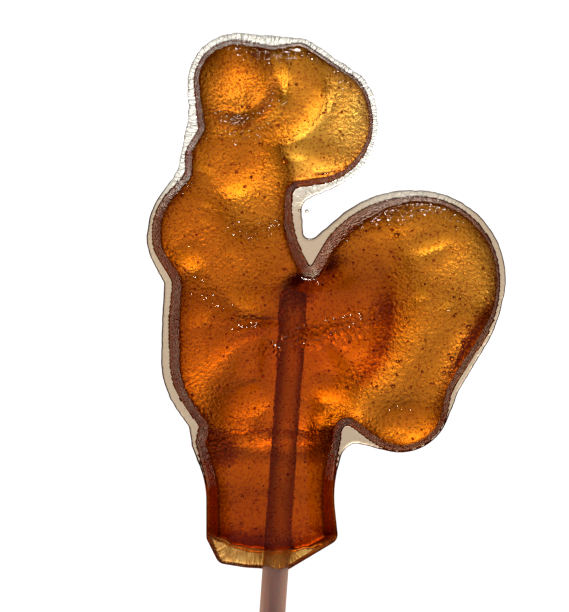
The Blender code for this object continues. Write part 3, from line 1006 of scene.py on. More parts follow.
@dataclass(frozen=True)
class SugarFinish:
    """Clear amber boiled sugar: what it takes out of the light, and how its skin is.

    A tint is how much red, green and blue passes the skin. Speckle, pebble, facet and whisker are
    the widths of one of each, in millimetres, as lengths, heights and wavelengths are.
    """

    taken_per_mm: Colour = (0.027, 0.149, 0.45)
    ior: float = 1.5
    body_roughness: float = 0.03
    smooth_roughness: float = 0.12
    wall_roughness: float = 0.06
    flash_roughness: float = 0.1
    frayed_roughness: float = 0.28
    lip_roughness: float = 0.2
    flash_tint: Colour = (0.72, 0.59, 0.50)
    frayed_tint: Colour = (1.0, 1.0, 1.0)
    lip_tint: Colour = (0.98, 0.80, 0.52)
    lip_dark: Colour = (0.72, 0.40, 0.20)
    lip_ends: Span = (0.4, 0.62)
    # Painted shade: the edge walls tinted a dark maroon.
    painted_wall_shade: Colour = (0.68, 0.16, 0.05)
    wall_ragged: float = 0.6
    wall_ends: Span = (0.35, 0.65)
    body_tint: Colour = (0.82, 0.72, 0.46)
    mottle_tint: Colour = (0.76, 0.60, 0.36)
    mottle_wavelength: float = 1.6
    mottle_ends: Span = (0.3, 0.7)
    # Painted glow and highlight: the clearer, yellower tint.
    painted_glow_tint: Colour = (1.0, 1.0, 0.64)
    # Painted shade: the browner tint.
    painted_shade_tint: Colour = (0.34, 0.14, 0.07)
    speckle_tint: Colour = (0.43, 0.21, 0.18)
    speckle: float = 0.34
    speckle_from: float = 0.585
    speckle_full: float = 0.67
    speckle_crowding: float = 0.12
    # How much closer the grains crowd where they also paint shade.
    speckle_burnt_and_shade: float = 0.2
    crowd_wavelength: float = 4.5
    pebble: float = 0.45
    pebble_height: float = 0.18
    facet: float = 0.75
    facet_radius: float = 0.33
    facet_slope: float = 0.46
    whisker: float = 0.3
    whisker_length: float = 1.6
    whisker_height: float = 0.26

    def absorption(self) -> tuple[Colour, float]:
        """What the sugar takes out of the light, as Blender's colour and density."""
        density = max(self.taken_per_mm) / MM
        return tuple(1.0 - taken / MM / density for taken in self.taken_per_mm), density

    def hatch(self, tree: Tree) -> Socket:
        """Draw short strokes across the rim, which follow it round.

        Args:
            tree: The material's tree.

        Returns:
            How strong the strokes are, about 0.5 on average.
        """
        strokes = tree.add("ShaderNodeCombineXYZ", {
            "X": tree.math('DIVIDE', tree.attribute("rim_run"), self.whisker),
            "Y": tree.math('DIVIDE', tree.attribute("rim_depth"), self.whisker_length)})
        return tree.noise(strokes.outputs[0], wavelength=1.0, detail=1.0)

    def roughness(self, tree: Tree, wall: Socket) -> Socket:
        """Roughen the skin.

        Args:
            tree: The material's tree.
            wall: Where the edge walls are.

        Returns:
            The roughness, the largest of what meets at a place.
        """
        parts = [tree.fade(tree.attribute("grain"), 0.0, 1.0, self.smooth_roughness, self.body_roughness)]
        for share, roughness in ((tree.attribute("flash"), self.flash_roughness),
                                 (tree.attribute("frayed"), self.frayed_roughness),
                                 (tree.attribute("lip"), self.lip_roughness), (wall, self.wall_roughness)):
            parts.append(tree.fade(share, 0.0, 1.0, 0.0, roughness))
        return tree.math('MAXIMUM', *parts)

    def speckles(self, tree: Tree, where: Socket) -> Socket:
        """Speckle the sugar with fine burnt grains, in loose crowds, crowding closer where they paint shade.

        Args:
            tree: The material's tree.
            where: The place on the candy, in millimetres.

        Returns:
            Where the grains are, from 0 to 1.
        """
        crowd = tree.noise(where, self.crowd_wavelength, detail=2.0)
        crowd = tree.math('MULTIPLY', crowd, self.speckle_crowding)
        burnt = tree.math('MULTIPLY', tree.attribute("burnt"), self.speckle_burnt_and_shade)
        grains = tree.math('ADD', tree.noise(where, self.speckle, detail=1.0), crowd, burnt)
        low = self.speckle_from + self.speckle_crowding / 2
        return tree.fade(grains, low, low + self.speckle_full - self.speckle_from)

    def tint(self, tree: Tree, where: Socket, hatch: Socket, wall: Socket) -> Socket:
        """Colour the skin.

        Args:
            tree: The material's tree.
            where: The place on the candy, in millimetres.
            hatch: The strokes across the rim.
            wall: Where the edge walls are.

        Returns:
            The colour that the light takes on as it passes the skin.
        """
        mottle = tree.fade(tree.noise(where, self.mottle_wavelength, detail=3.0), *self.mottle_ends)
        body = tree.blend(mottle, self.mottle_tint, self.body_tint)
        # Painted glow at the gleams, painted shade on the walls and where the skin is browner, and burnt
        # grains that paint shade too.
        body = tree.blend(tree.attribute("clear"), body, self.painted_glow_tint)
        body = tree.blend(wall, body, self.painted_wall_shade)
        body = tree.blend(tree.attribute("painted_shade"), body, self.painted_shade_tint)
        body = tree.blend(self.speckles(tree, where), body, self.speckle_tint, 'MULTIPLY')
        rim = tree.blend(tree.attribute("frayed"), self.flash_tint, self.frayed_tint)
        streaked = tree.blend(tree.fade(hatch, *self.lip_ends), self.lip_dark, self.lip_tint)
        return tree.blend(tree.attribute("lip"), tree.blend(tree.attribute("flash"), body, rim), streaked)

    def surface(self, tree: MaterialTree, where: Socket, hatch: Socket) -> Socket:
        """Press pebbles, hammered facets and the strokes of the frayed rim into the skin.

        Args:
            tree: The material's tree.
            where: The place on the candy, in millimetres.
            hatch: The strokes across the rim.

        Returns:
            The skin's normal.
        """
        pebbles = tree.math('MULTIPLY', tree.noise(where, self.pebble, detail=1.0), tree.attribute("grain"))
        pressed = tree.bump(pebbles, self.pebble_height)
        cell = tree.add("ShaderNodeTexVoronoi", {"Vector": where, "Scale": 1.0 / self.facet},
                        voronoi_dimensions='2D').outputs["Distance"]
        cone = tree.math('MAXIMUM', tree.math('SUBTRACT', self.facet_radius / self.facet, cell), 0.0)
        facets = tree.math('MULTIPLY', cone, tree.attribute("hammered"))
        pressed = tree.bump(facets, self.facet * self.facet_slope, below=pressed)
        whiskers = tree.math('MULTIPLY', hatch, tree.attribute("frayed"))
        return tree.bump(whiskers, self.whisker_height, below=pressed)

    def material(self) -> bpy.types.Material:
        """Put the skin and what the sugar takes out of the light together.

        Returns:
            The candy's material.
        """
        tree = MaterialTree("burnt_sugar")
        where = tree.millimetres()
        hatch = self.hatch(tree)
        ragged = tree.math('MULTIPLY', tree.math('SUBTRACT', hatch, 0.5), self.wall_ragged)
        wall = tree.fade(tree.math('ADD', tree.attribute("wall"), ragged), *self.wall_ends)
        colour, density = self.absorption()
        depth = tree.add("ShaderNodeVolumeAbsorption", {"Color": colour, "Density": density})
        return tree.shaded({
            "Base Color": self.tint(tree, where, hatch, wall), "Roughness": self.roughness(tree, wall),
            "Normal": self.surface(tree, where, hatch), "IOR": self.ior,
            "Transmission Weight": 1.0, "Metallic": 0.0}, depth.outputs[0])


@dataclass(frozen=True)
class SpeckFinish:
    """Burnt crumbs of sugar: dark, reddish and cloudy, each a little different."""

    darkest: Colour = (0.50, 0.14, 0.06)
    palest: Colour = (0.85, 0.42, 0.20)
    wavelength: float = 0.7
    ends: Span = (0.35, 0.65)
    roughness: float = 0.35
    ior: float = 1.25
    clearness: float = 0.92

    def material(self) -> bpy.types.Material:
        """The specks' material."""
        tree = MaterialTree("burnt_specks")
        share = tree.fade(tree.noise(tree.millimetres(), self.wavelength, detail=1.0), *self.ends)
        return tree.shaded({
            "Base Color": tree.blend(share, self.darkest, self.palest), "Roughness": self.roughness,
            "IOR": self.ior, "Transmission Weight": self.clearness})


@dataclass(frozen=True)
class BubbleFinish:
    """The wall of a bubble: clear, with a faint warm tint that varies."""

    clearest: Colour = (1.0, 0.97, 0.92)
    warmest: Colour = (0.92, 0.80, 0.66)
    wavelength: float = 1.5
    ior: float = 1.5

    def material(self) -> bpy.types.Material:
        """The bubbles' material."""
        tree = MaterialTree("bubble_walls")
        share = tree.noise(tree.millimetres(), self.wavelength, detail=1.0)
        return tree.shaded({
            "Base Color": tree.blend(share, self.clearest, self.warmest), "Roughness": 0.0,
            "IOR": self.ior, "Transmission Weight": 1.0})


@dataclass(frozen=True)
class StickFinish:
    """A white moulded stick, drawn lengthways and clear enough to glow, painted darker and pinker outside
    the candy as painted shade.

    Where sugar wets it, it scatters less and lets more light through.
    """

    # Outside the candy: white darkened and pinked as painted shade, with lengthways streaks.
    colour: Colour = (0.80, 0.64, 0.60)
    worn_and_shaded: Colour = (0.72, 0.55, 0.51)
    wetted: Colour = (0.99, 0.93, 0.90)
    streak: float = 0.5
    streak_squeeze: Colour = (1.0, 0.06, 1.0)
    streak_ends: Span = (0.35, 0.65)
    streak_height: float = 0.02
    streak_strength: float = 0.3
    roughness: float = 0.5
    clearness: float = 0.72
    ior: float = 1.3
    glow_depth: float = 2.5
    glow_by_colour: Colour = (1.0, 0.62, 0.52)

    def material(self) -> bpy.types.Material:
        """Put the streaks, the wetted part and the glow together.

        Returns:
            The stick's material.
        """
        tree = MaterialTree("white_stick")
        drawn = tree.add("ShaderNodeVectorMath", {0: tree.millimetres(), 1: self.streak_squeeze},
                         operation='MULTIPLY')
        streaks = tree.noise(drawn.outputs[0], self.streak, detail=3.0)
        colour = tree.blend(tree.fade(streaks, *self.streak_ends), self.colour, self.worn_and_shaded)
        in_candy = tree.attribute("in_candy")
        return tree.shaded({
            "Base Color": tree.blend(in_candy, colour, self.wetted), "Roughness": self.roughness,
            "Normal": tree.bump(streaks, self.streak_height, self.streak_strength), "IOR": self.ior,
            "Transmission Weight": tree.fade(in_candy, 0.0, 1.0, 0.0, self.clearness),
            "Subsurface Weight": 1.0, "Subsurface Radius": self.glow_by_colour,
            "Subsurface Scale": self.glow_depth * MM})


def keep_value(mesh: bpy.types.Mesh, name: str, values: np.ndarray) -> None:
    """Keep a value for every corner of a mesh, under a name."""
    layer = mesh.attributes.new(name, 'FLOAT', 'POINT')
    layer.data.foreach_set("value", values.astype(np.float32))


def finished(name: str, mesh: bpy.types.Mesh, material: bpy.types.Material, slot: str,
             *nodes: str) -> None:
    """Put a made mesh in the scene as a piece of the lollipop.

    Args:
        name: The piece's name.
        mesh: Its mesh, in place, in metres.
        material: Its material.
        slot: The record's material slot; not used.
        nodes: The solids that it stands for.
    """
    piece = bpy.data.objects.new(name, mesh)
    bpy.context.scene.collection.objects.link(piece)
    mesh.materials.clear()
    mesh.materials.append(material)
    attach(piece, BODY)
    if nodes:
        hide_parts(*nodes)
    log.info("%s: %d faces", name, len(mesh.polygons))


@dataclass
class Casting:
    """The cast figure with its flash."""

    step: float = 0.25
    pitch: float = 0.29
    comb_pitch: float = 0.24
    comb_base: float = 57.5
    outline_rings: tuple[float, ...] = (0.1, 0.22, 0.36, 0.52, 0.7)
    rim_rings: tuple[float, ...] = (0.02, 0.06, 0.12, 0.24)
    clearance: float = 0.13
    floor_gap: float = 0.03
    ragged: float = 0.05
    ragged_comb: float = 0.13
    ragged_wavelength: float = 0.7
    ragged_from: float = 0.4
    wave_height: float = 0.045
    wave_wavelength: float = 1.9
    wave_margin: float = 1.2
    wave_least: float = 0.4
    shine_margin: Span = (0.2, 1.6)
    calm_beside: Span = (2.1, 4.7)
    calm_start: Span = (4.0, 6.5)
    calm_end: Span = (29.5, 34.5)
    calm_inset: Span = (1.5, 4.0)
    calm_between: Span = (8.0, 40.0)
    axis_end: float = 44.0
    axis_step: float = 0.5
    evened_steps: int = 12
    relief: Relief = field(default_factory=Relief)
    skin: Skin = field(init=False)
    outline: Loop = field(init=False)
    rim: Loop = field(init=False)
    shift: np.ndarray = field(init=False)

    def __post_init__(self) -> None:
        """Lay out the two lines and find where the mould's frame lies among the solids."""
        self.skin = Skin(self.relief)
        self.outline = Loop.round_circles(
            [(arc.x, arc.y, arc.radius, arc.side.value) for arc in OUTLINE], self.step)
        rim = Loop.round_circles([self.flash_circle(arc) for arc in OUTLINE if arc.flash is not None],
                                 self.step)
        low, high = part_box("candy")
        plane = sum(corner.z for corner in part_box("stick")) / 2
        self.shift = np.array([low.x / MM - rim.points[:, 0].min(),
                               high.y / MM - rim.points[:, 1].max(), plane / MM])
        self.rim = self.frayed(rim)

    @staticmethod
    def flash_circle(arc: Arc) -> tuple[float, float, float, int]:
        """Find the circle that the flash bends round outside an arc.

        Args:
            arc: The arc.

        Returns:
            The circle as (x, y, radius, side).
        """
        if isinstance(arc.flash, tuple):
            return (*arc.flash, arc.side.value)
        return (arc.x, arc.y, arc.radius + arc.side.value * arc.flash, arc.side.value)

    def frayed(self, rim: Loop) -> Loop:
        """Make the flash's rim a little ragged, and more so at the comb.

        Args:
            rim: The smooth rim.

        Returns:
            The ragged rim, unmoved where it comes near the outline.
        """
        ahead = np.roll(rim.points, -1, axis=0) - np.roll(rim.points, 1, axis=0)
        outward = np.stack([ahead[:, 1], -ahead[:, 0]], axis=1) / np.linalg.norm(ahead, axis=1)[:, None]
        most = self.ragged + (self.ragged_comb - self.ragged) * self.relief.fraying(rim.points)
        waver = rough(rim.points, self.ragged_wavelength * 2, Pattern.RIM_LARGE)
        waver += rough(rim.points, self.ragged_wavelength, Pattern.RIM_SMALL)
        waver = np.where(self.outline.distance(rim.points) > self.ragged_from, waver * most, 0.0)
        return Loop(rim.points + outward * waver[:, None])

    def lattice(self, pitch: float) -> np.ndarray:
        """Lay a triangular lattice over the whole plan.

        Args:
            pitch: How far apart its points are.

        Returns:
            The points.
        """
        low, high = self.rim.points.min(0), self.rim.points.max(0)
        rows = []
        for i, y in enumerate(np.arange(low[1], high[1], pitch * math.sqrt(3) / 2)):
            columns = np.arange(low[0] + (i % 2) * pitch / 2, high[0], pitch)
            rows.append(np.stack([columns, np.full(len(columns), y)], axis=1))
        return np.concatenate(rows)

    def plan(self) -> tuple[np.ndarray, np.ndarray]:
        """Divide the plan into triangles.

        Returns:
            The points, those of the rim first, and the three points of each triangle.
        """
        fine, coarse = self.lattice(self.comb_pitch), self.lattice(self.pitch)
        inner = np.concatenate([fine[fine[:, 1] > self.comb_base], coarse[coarse[:, 1] <= self.comb_base]])
        inner = inner[self.rim.contains(inner)]
        within = self.outline.contains(inner)
        room = np.where(within, self.outline_rings[-1] + self.clearance, self.clearance)
        clear = (self.outline.distance(inner) > room) & (self.rim.distance(inner) > self.rim_rings[-1])
        rings = [self.outline.ring(inset) for inset in self.outline_rings]
        for inset in self.rim_rings:
            ring = self.rim.ring(inset)
            keep = ~self.outline.contains(ring) & (self.outline.distance(ring) > self.clearance / 2)
            rings.append(ring[keep])
        points = np.concatenate([self.rim.points, self.outline.points, *rings, inner[clear]])
        edges = []
        for first, size in ((0, len(self.rim.points)), (len(self.rim.points), len(self.outline.points))):
            edges += [(first + i, first + (i + 1) % size) for i in range(size)]
        flat = delaunay_2d_cdt([Vector(point) for point in points], edges, [], 0, SAME_POINT)
        points = np.array([tuple(point) for point in flat[0]])
        faces = np.array(flat[2])
        return points, faces[self.rim.contains(points[faces].mean(1))]

    def measured(self, points: np.ndarray) -> Places:
        """The same places with how far in they are."""
        inset = np.where(self.outline.contains(points), self.outline.distance(points), 0.0)
        return Places(points, self.rim.distance(points), inset)

    def calmed(self, points: np.ndarray, inset: np.ndarray, shown: np.ndarray) -> np.ndarray:
        """Even out the shown half over the stick, so that the stick shows straight through it.

        Args:
            points: Places inside the outline.
            inset: How far in from the outline each one is.
            shown: How high the shown half is there.

        Returns:
            The evened heights.
        """
        stations = np.arange(0.0, self.axis_end, self.axis_step)
        axis = self.measured(stations[:, None] * STICK_AXIS)
        flash = self.relief.flash(axis.points, axis.margin)
        level = self.relief.half_thickness(axis.points, axis.inset, flash, True)
        level = np.interp(np.clip(stations, *self.calm_between), stations, level)
        reach = np.arange(-self.evened_steps, self.evened_steps + 1) / (self.evened_steps / 2)
        weights = np.exp(-reach ** 2)
        padded = np.pad(level, self.evened_steps, mode='edge')
        level = np.convolve(padded, weights / weights.sum(), mode='valid')
        along = points @ STICK_AXIS
        share = 1.0 - smooth(off_axis(points), *self.calm_beside)
        share *= smooth(along, *self.calm_start) * (1.0 - smooth(along, *self.calm_end))
        share *= smooth(inset, *self.calm_inset)
        return shown + share * (np.interp(along, stations, level) - shown)

    def heights(self, places: Places) -> tuple[np.ndarray, np.ndarray]:
        """How far the candy stands over the plan and under it.

        Args:
            places: Places in the plan.

        Returns:
            The heights of the shown half, and of the hidden one.
        """
        points, inset, inside = places.points, places.inset, places.inside
        flash = self.relief.flash(points, places.margin)
        within = (points[inside], inset[inside], flash[inside])
        shown, hidden = flash.copy(), flash.copy()
        shown[inside] = self.calmed(*within[:2], self.relief.half_thickness(*within, True))
        shines = sum(self.relief.slope(slope, points[inside]) for slope in SHINES)
        shown[inside] += shines * smooth(inset[inside], *self.shine_margin)
        hidden[inside] = self.relief.half_thickness(*within, False)
        uneven = self.wave_least + (1.0 - self.wave_least) * self.skin.unevenness(points)
        waves = smooth(inset, 0.0, self.wave_margin) * self.wave_height * uneven
        waves *= self.skin.off_stick(points)
        upper = shown + rough(points, self.wave_wavelength, Pattern.SHOWN_SKIN) * waves
        lower = hidden + rough(points, self.wave_wavelength, Pattern.HIDDEN_SKIN) * waves
        return upper, np.minimum(lower, self.shift[2] - self.floor_gap)

    def build(self) -> bpy.types.Mesh:
        """Join both halves at the rim.

        Returns:
            One closed mesh with the skin's values on it.
        """
        points, faces = self.plan()
        places = self.measured(points)
        upper, lower = self.heights(places)
        marks = self.skin.marks(places)
        marks |= {"rim_depth": places.margin, "rim_run": self.rim.run[self.rim.nearest(points)]}
        on_rim = places.margin < ON_LINE
        upper[on_rim] = 0.0
        under = np.where(on_rim, np.arange(len(points)), 0)
        under[~on_rim] = len(points) + np.arange((~on_rim).sum())
        top = np.column_stack([points, upper])
        bottom = np.column_stack([points[~on_rim], -lower[~on_rim]])
        corners = (np.concatenate([top, bottom]) + self.shift) * MM
        faces = np.concatenate([faces, under[faces[:, ::-1]]])
        mesh = bpy.data.meshes.new("candy_casting")
        mesh.from_pydata(corners.tolist(), [], faces.tolist())
        mesh.validate()
        mesh.shade_smooth()
        for name, value in marks.items():
            keep_value(mesh, name, np.concatenate([value, value[~on_rim]]))
        return mesh


@dataclass
class Stick:
    """The round white stick that the figure is cast on."""

    diameter: float = 3.5
    length: float = 120.0
    in_candy: float = 36.5
    eased: float = 0.3
    ease_steps: int = 4
    sides: int = 96
    slices: int = 160
    wetted: Span = (-0.5, 0.5)
    sharp_from: float = 50.0
    shift: np.ndarray = field(default_factory=lambda: np.zeros(3))

    def profile(self) -> list[Span]:
        """Draw the bar from its far end to the one in the candy, with both ends eased.

        Returns:
            How far along the axis and how far from it each step of the outline is.
        """
        low, high, radius = self.in_candy - self.length, self.in_candy, self.diameter / 2
        end = [(low, 0.0), (low, radius - self.eased)]
        for i in range(1, self.ease_steps + 1):
            turn = math.radians(90.0 * i / self.ease_steps)
            end.append((low + self.eased * (1 - math.cos(turn)), radius - self.eased * (1 - math.sin(turn))))
        middle = [(low + self.length * i / self.slices, radius) for i in range(1, self.slices)]
        return end + middle + [(low + high - along, wide) for along, wide in reversed(end)]

    def build(self) -> bpy.types.Mesh:
        """Turn the bar's outline round its axis.

        Returns:
            One closed mesh.
        """
        profile = self.profile()
        axis, across = np.array([*STICK_AXIS, 0.0]), np.array([*STICK_ACROSS, 0.0])
        corners, faces = [], []
        for along, wide in profile:
            for i in range(self.sides if wide > 0.0 else 1):
                turn = math.tau * i / self.sides
                corners.append(axis * along + across * wide * math.cos(turn)
                               + np.array([0.0, 0.0, wide * math.sin(turn)]))
        last = len(corners) - 1
        for i in range(self.sides):
            after = (i + 1) % self.sides
            faces.append((0, 1 + i, 1 + after))
            faces.append((last, last - self.sides + after, last - self.sides + i))
            for ring in range(len(profile) - 3):
                first = 1 + ring * self.sides
                faces.append((first + i, first + self.sides + i, first + self.sides + after, first + after))
        mesh = bpy.data.meshes.new("stick_round")
        mesh.from_pydata(((np.array(corners) + self.shift) * MM).tolist(), [], faces)
        mesh.shade_smooth()
        mesh.set_sharp_from_angle(angle=math.radians(self.sharp_from))
        keep_value(mesh, "in_candy", smooth(np.array(corners) @ axis, *self.wetted))
        return mesh


class GeometryTree(Tree):
    """A Geometry Nodes tree with named inputs."""

    def __init__(self, name: str) -> None:
        """Start from a tree that takes and gives a mesh.

        Args:
            name: The tree's name.
        """
        super().__init__(bpy.data.node_groups.new(name, 'GeometryNodeTree'))
        self.tree.interface.new_socket("Geometry", in_out='INPUT', socket_type='NodeSocketGeometry')
        self.tree.interface.new_socket("Geometry", in_out='OUTPUT', socket_type='NodeSocketGeometry')
        self.identifiers = {}

    def input(self, name: str, kind: str) -> None:
        """Add a named input."""
        socket = self.tree.interface.new_socket(name, in_out='INPUT', socket_type=kind)
        self.identifiers[name] = socket.identifier

    def applied(self, source: bpy.types.Mesh, values: dict[str, object]) -> bpy.types.Mesh:
        """What the tree makes of a mesh.

        Args:
            source: The mesh that goes in.
            values: The inputs' values, by name.

        Returns:
            The result as a plain mesh.
        """
        carrier = bpy.data.objects.new("carrier", source)
        bpy.context.scene.collection.objects.link(carrier)
        modifier = carrier.modifiers.new("nodes", 'NODES')
        modifier.node_group = self.tree
        for name, value in values.items():
            modifier[self.identifiers[name]] = value
        seen = carrier.evaluated_get(bpy.context.evaluated_depsgraph_get())
        made = bpy.data.meshes.new_from_object(seen)
        carrier.modifiers.clear()
        bpy.data.objects.remove(carrier)
        return made


@dataclass
class Inclusions:
    """What floats in the sugar just under the shown skin: burnt specks and bubbles."""

    casting: Casting
    seed: int = 20
    dust_count: int = 3200
    dust_radius: Span = (0.04, 0.085)
    dust_fineness: int = 1
    flash_count: int = 150
    flash_spread: float = 0.8
    flash_radius: Span = (0.03, 0.06)
    flash_depth: Span = (-0.2, 0.25)
    flash_margin: float = 0.25
    flash_gap: float = 0.15
    flash_fraying: float = 0.5
    speck_count: int = 620
    speck_radius: Span = (0.08, 0.23)
    speck_depth: Span = (0.2, 1.1)
    speck_fineness: int = 2
    bubble_count: int = 70
    bubble_radius: Span = (0.10, 0.24)
    bubble_depth: Span = (0.4, 1.2)
    bubble_fineness: int = 3
    band_count: int = 34
    band_middle: Span = (24.2, 29.5)
    band_size: Span = (1.6, 5.0)
    band_tries: int = 3
    least_inset: float = 0.9
    size_power: float = 3.0

    def scattered(self, rng: np.random.Generator, count: int, tries: int = 4) -> np.ndarray:
        """Scatter places all over the figure, except on the lip.

        Args:
            rng: Where chance comes from.
            count: How many are wanted.
            tries: How many are drawn for each one wanted.

        Returns:
            The places.
        """
        low, high = self.casting.outline.points.min(0), self.casting.outline.points.max(0)
        tried = low + (high - low) * rng.random((count * tries, 2))
        tried = tried[self.casting.outline.contains(tried)]
        kept = self.casting.outline.distance(tried) > self.least_inset
        kept &= self.casting.relief.lip(tried) < TINY
        return tried[kept][:count]

    def under_skin(self, plan: np.ndarray, depth: np.ndarray) -> np.ndarray:
        """Places in the sugar, so deep under the shown skin."""
        upper, _ = self.casting.heights(self.casting.measured(plan))
        return np.column_stack([plan, upper - depth])

    def sunk(self, rng: np.random.Generator, plan: np.ndarray, depths: Span) -> np.ndarray:
        """Places at a random depth under the shown skin."""
        return self.under_skin(plan, depths[0] + (depths[1] - depths[0]) * rng.random(len(plan)))

    def sizes(self, rng: np.random.Generator, count: int, radii: Span) -> np.ndarray:
        """Random radii, most of them small."""
        return radii[0] + (radii[1] - radii[0]) * rng.random(count) ** self.size_power

    def round_shapes(self, name: str, places: np.ndarray, radii: np.ndarray, fineness: int,
                     material: bpy.types.Material) -> bpy.types.Mesh:
        """A round shape at each place, all in one mesh.

        Args:
            name: The mesh's name.
            places: Where they go, in the mould's frame.
            radii: How large each one is, in millimetres.
            fineness: How often the round shape is subdivided.
            material: What they are made of.

        Returns:
            The mesh.
        """
        seeds = bpy.data.meshes.new(name + "_places")
        seeds.from_pydata(((places + self.casting.shift) * MM).tolist(), [], [])
        keep_value(seeds, "radius", radii * MM)
        tree = GeometryTree(name)
        tree.input("Fineness", 'NodeSocketInt')
        tree.input("Material", 'NodeSocketMaterial')
        given = tree.add("NodeGroupInput")
        ball = tree.add("GeometryNodeMeshIcoSphere", {"Radius": 1.0,
                                                      "Subdivisions": given.outputs["Fineness"]})
        smoothed = tree.add("GeometryNodeSetShadeSmooth", {"Geometry": ball.outputs["Mesh"]})
        radius = tree.add("GeometryNodeInputNamedAttribute", {"Name": "radius"}, data_type='FLOAT')
        turn = tree.add("FunctionNodeRandomValue", {1: (math.tau, math.tau, math.tau), "Seed": self.seed},
                        data_type='FLOAT_VECTOR')
        placed = tree.add("GeometryNodeInstanceOnPoints", {
            "Points": given.outputs["Geometry"], "Instance": smoothed.outputs[0],
            "Scale": radius.outputs["Attribute"], "Rotation": turn.outputs[0]})
        joined = tree.add("GeometryNodeRealizeInstances", {0: placed.outputs[0]})
        dressed = tree.add("GeometryNodeSetMaterial", {"Geometry": joined.outputs[0],
                                                       "Material": given.outputs["Material"]})
        tree.add("NodeGroupOutput", {"Geometry": dressed.outputs[0]})
        return tree.applied(seeds, {"Fineness": fineness, "Material": material})

    def flash_dust(self, rng: np.random.Generator, tries: int = 6) -> np.ndarray:
        """Scatter a little dust in the flash, but none in its frayed part.

        Args:
            rng: Where chance comes from.
            tries: How many places are drawn for each one wanted.

        Returns:
            The places in the plan.
        """
        outline, rim = self.casting.outline, self.casting.rim
        tried = rim.points[rng.integers(0, len(rim.points), self.flash_count * tries)]
        tried = tried + rng.normal(0.0, self.flash_spread, tried.shape)
        kept = rim.contains(tried) & ~outline.contains(tried)
        kept &= (rim.distance(tried) > self.flash_margin) & (outline.distance(tried) > self.flash_gap)
        kept &= self.casting.relief.fraying(tried) < self.flash_fraying
        return tried[kept][:self.flash_count]

    def dust(self, material: bpy.types.Material) -> bpy.types.Mesh:
        """Make the finest burnt dust, in the figure and a little in the flash.

        Args:
            material: What it is made of.

        Returns:
            The mesh.
        """
        rng = np.random.default_rng(self.seed + 2)
        places = self.sunk(rng, self.scattered(rng, self.dust_count), self.speck_depth)
        radii = rng.uniform(*self.dust_radius, len(places))
        flash = self.flash_dust(rng)
        in_flash = np.column_stack([flash, rng.uniform(*self.flash_depth, len(flash))])
        radii = np.concatenate([radii, rng.uniform(*self.flash_radius, len(flash))])
        return self.round_shapes("candy_dust", np.concatenate([places, in_flash]), radii,
                                 self.dust_fineness, material)

    def specks(self, material: bpy.types.Material) -> bpy.types.Mesh:
        """Make the larger burnt specks.

        Args:
            material: What they are made of.

        Returns:
            The mesh.
        """
        rng = np.random.default_rng(self.seed)
        places = self.sunk(rng, self.scattered(rng, self.speck_count), self.speck_depth)
        radii = self.sizes(rng, len(places), self.speck_radius)
        return self.round_shapes("candy_specks", places, radii, self.speck_fineness, material)

    def bubbles(self, material: bpy.types.Material) -> bpy.types.Mesh:
        """Make bubbles, with a crowd of them at the tail's dark band and the large ones in their places.

        Args:
            material: What their walls are made of.

        Returns:
            The mesh.
        """
        rng = np.random.default_rng(self.seed + 1)
        outline = self.casting.outline
        band = rng.normal(self.band_middle, self.band_size, (self.band_count * self.band_tries, 2))
        band = band[outline.contains(band)]
        band = band[outline.distance(band) > self.least_inset][:self.band_count]
        plan = np.concatenate([self.scattered(rng, self.bubble_count), band])
        places = self.sunk(rng, plan, self.bubble_depth)
        large = np.array(LARGE_BUBBLES)
        radii = np.concatenate([self.sizes(rng, len(places), self.bubble_radius), large[:, 2]])
        places = np.concatenate([places, self.under_skin(large[:, :2], large[:, 3])])
        return self.round_shapes("candy_bubbles", places, radii, self.bubble_fineness, material)


@dataclass(frozen=True)
class Lamp:
    """A soft rectangular light, its place and size in metres.

    The brightness is how bright its face looks, where white paper in the photograph is 1. It
    glints if the sugar's skin mirrors it.
    """

    name: str
    place: tuple[float, float, float]
    size: Span
    brightness: float
    glints: bool


LAMPS = (
    Lamp("window_light", (0.03, 0.62, 0.29), (0.20, 0.12), 34.0, True),
    Lamp("room_light", (0.0, 0.0, 1.2), (1.6, 1.6), 0.12, True),
    Lamp("left_card", (-0.6, 0.0, 0.10), (0.2, 0.5), 0.9, False),
    Lamp("right_card", (0.6, 0.0, 0.10), (0.2, 0.5), 1.3, False),
    Lamp("foot_card", (0.0, -0.6, 0.10), (0.5, 0.2), 1.0, False),
)


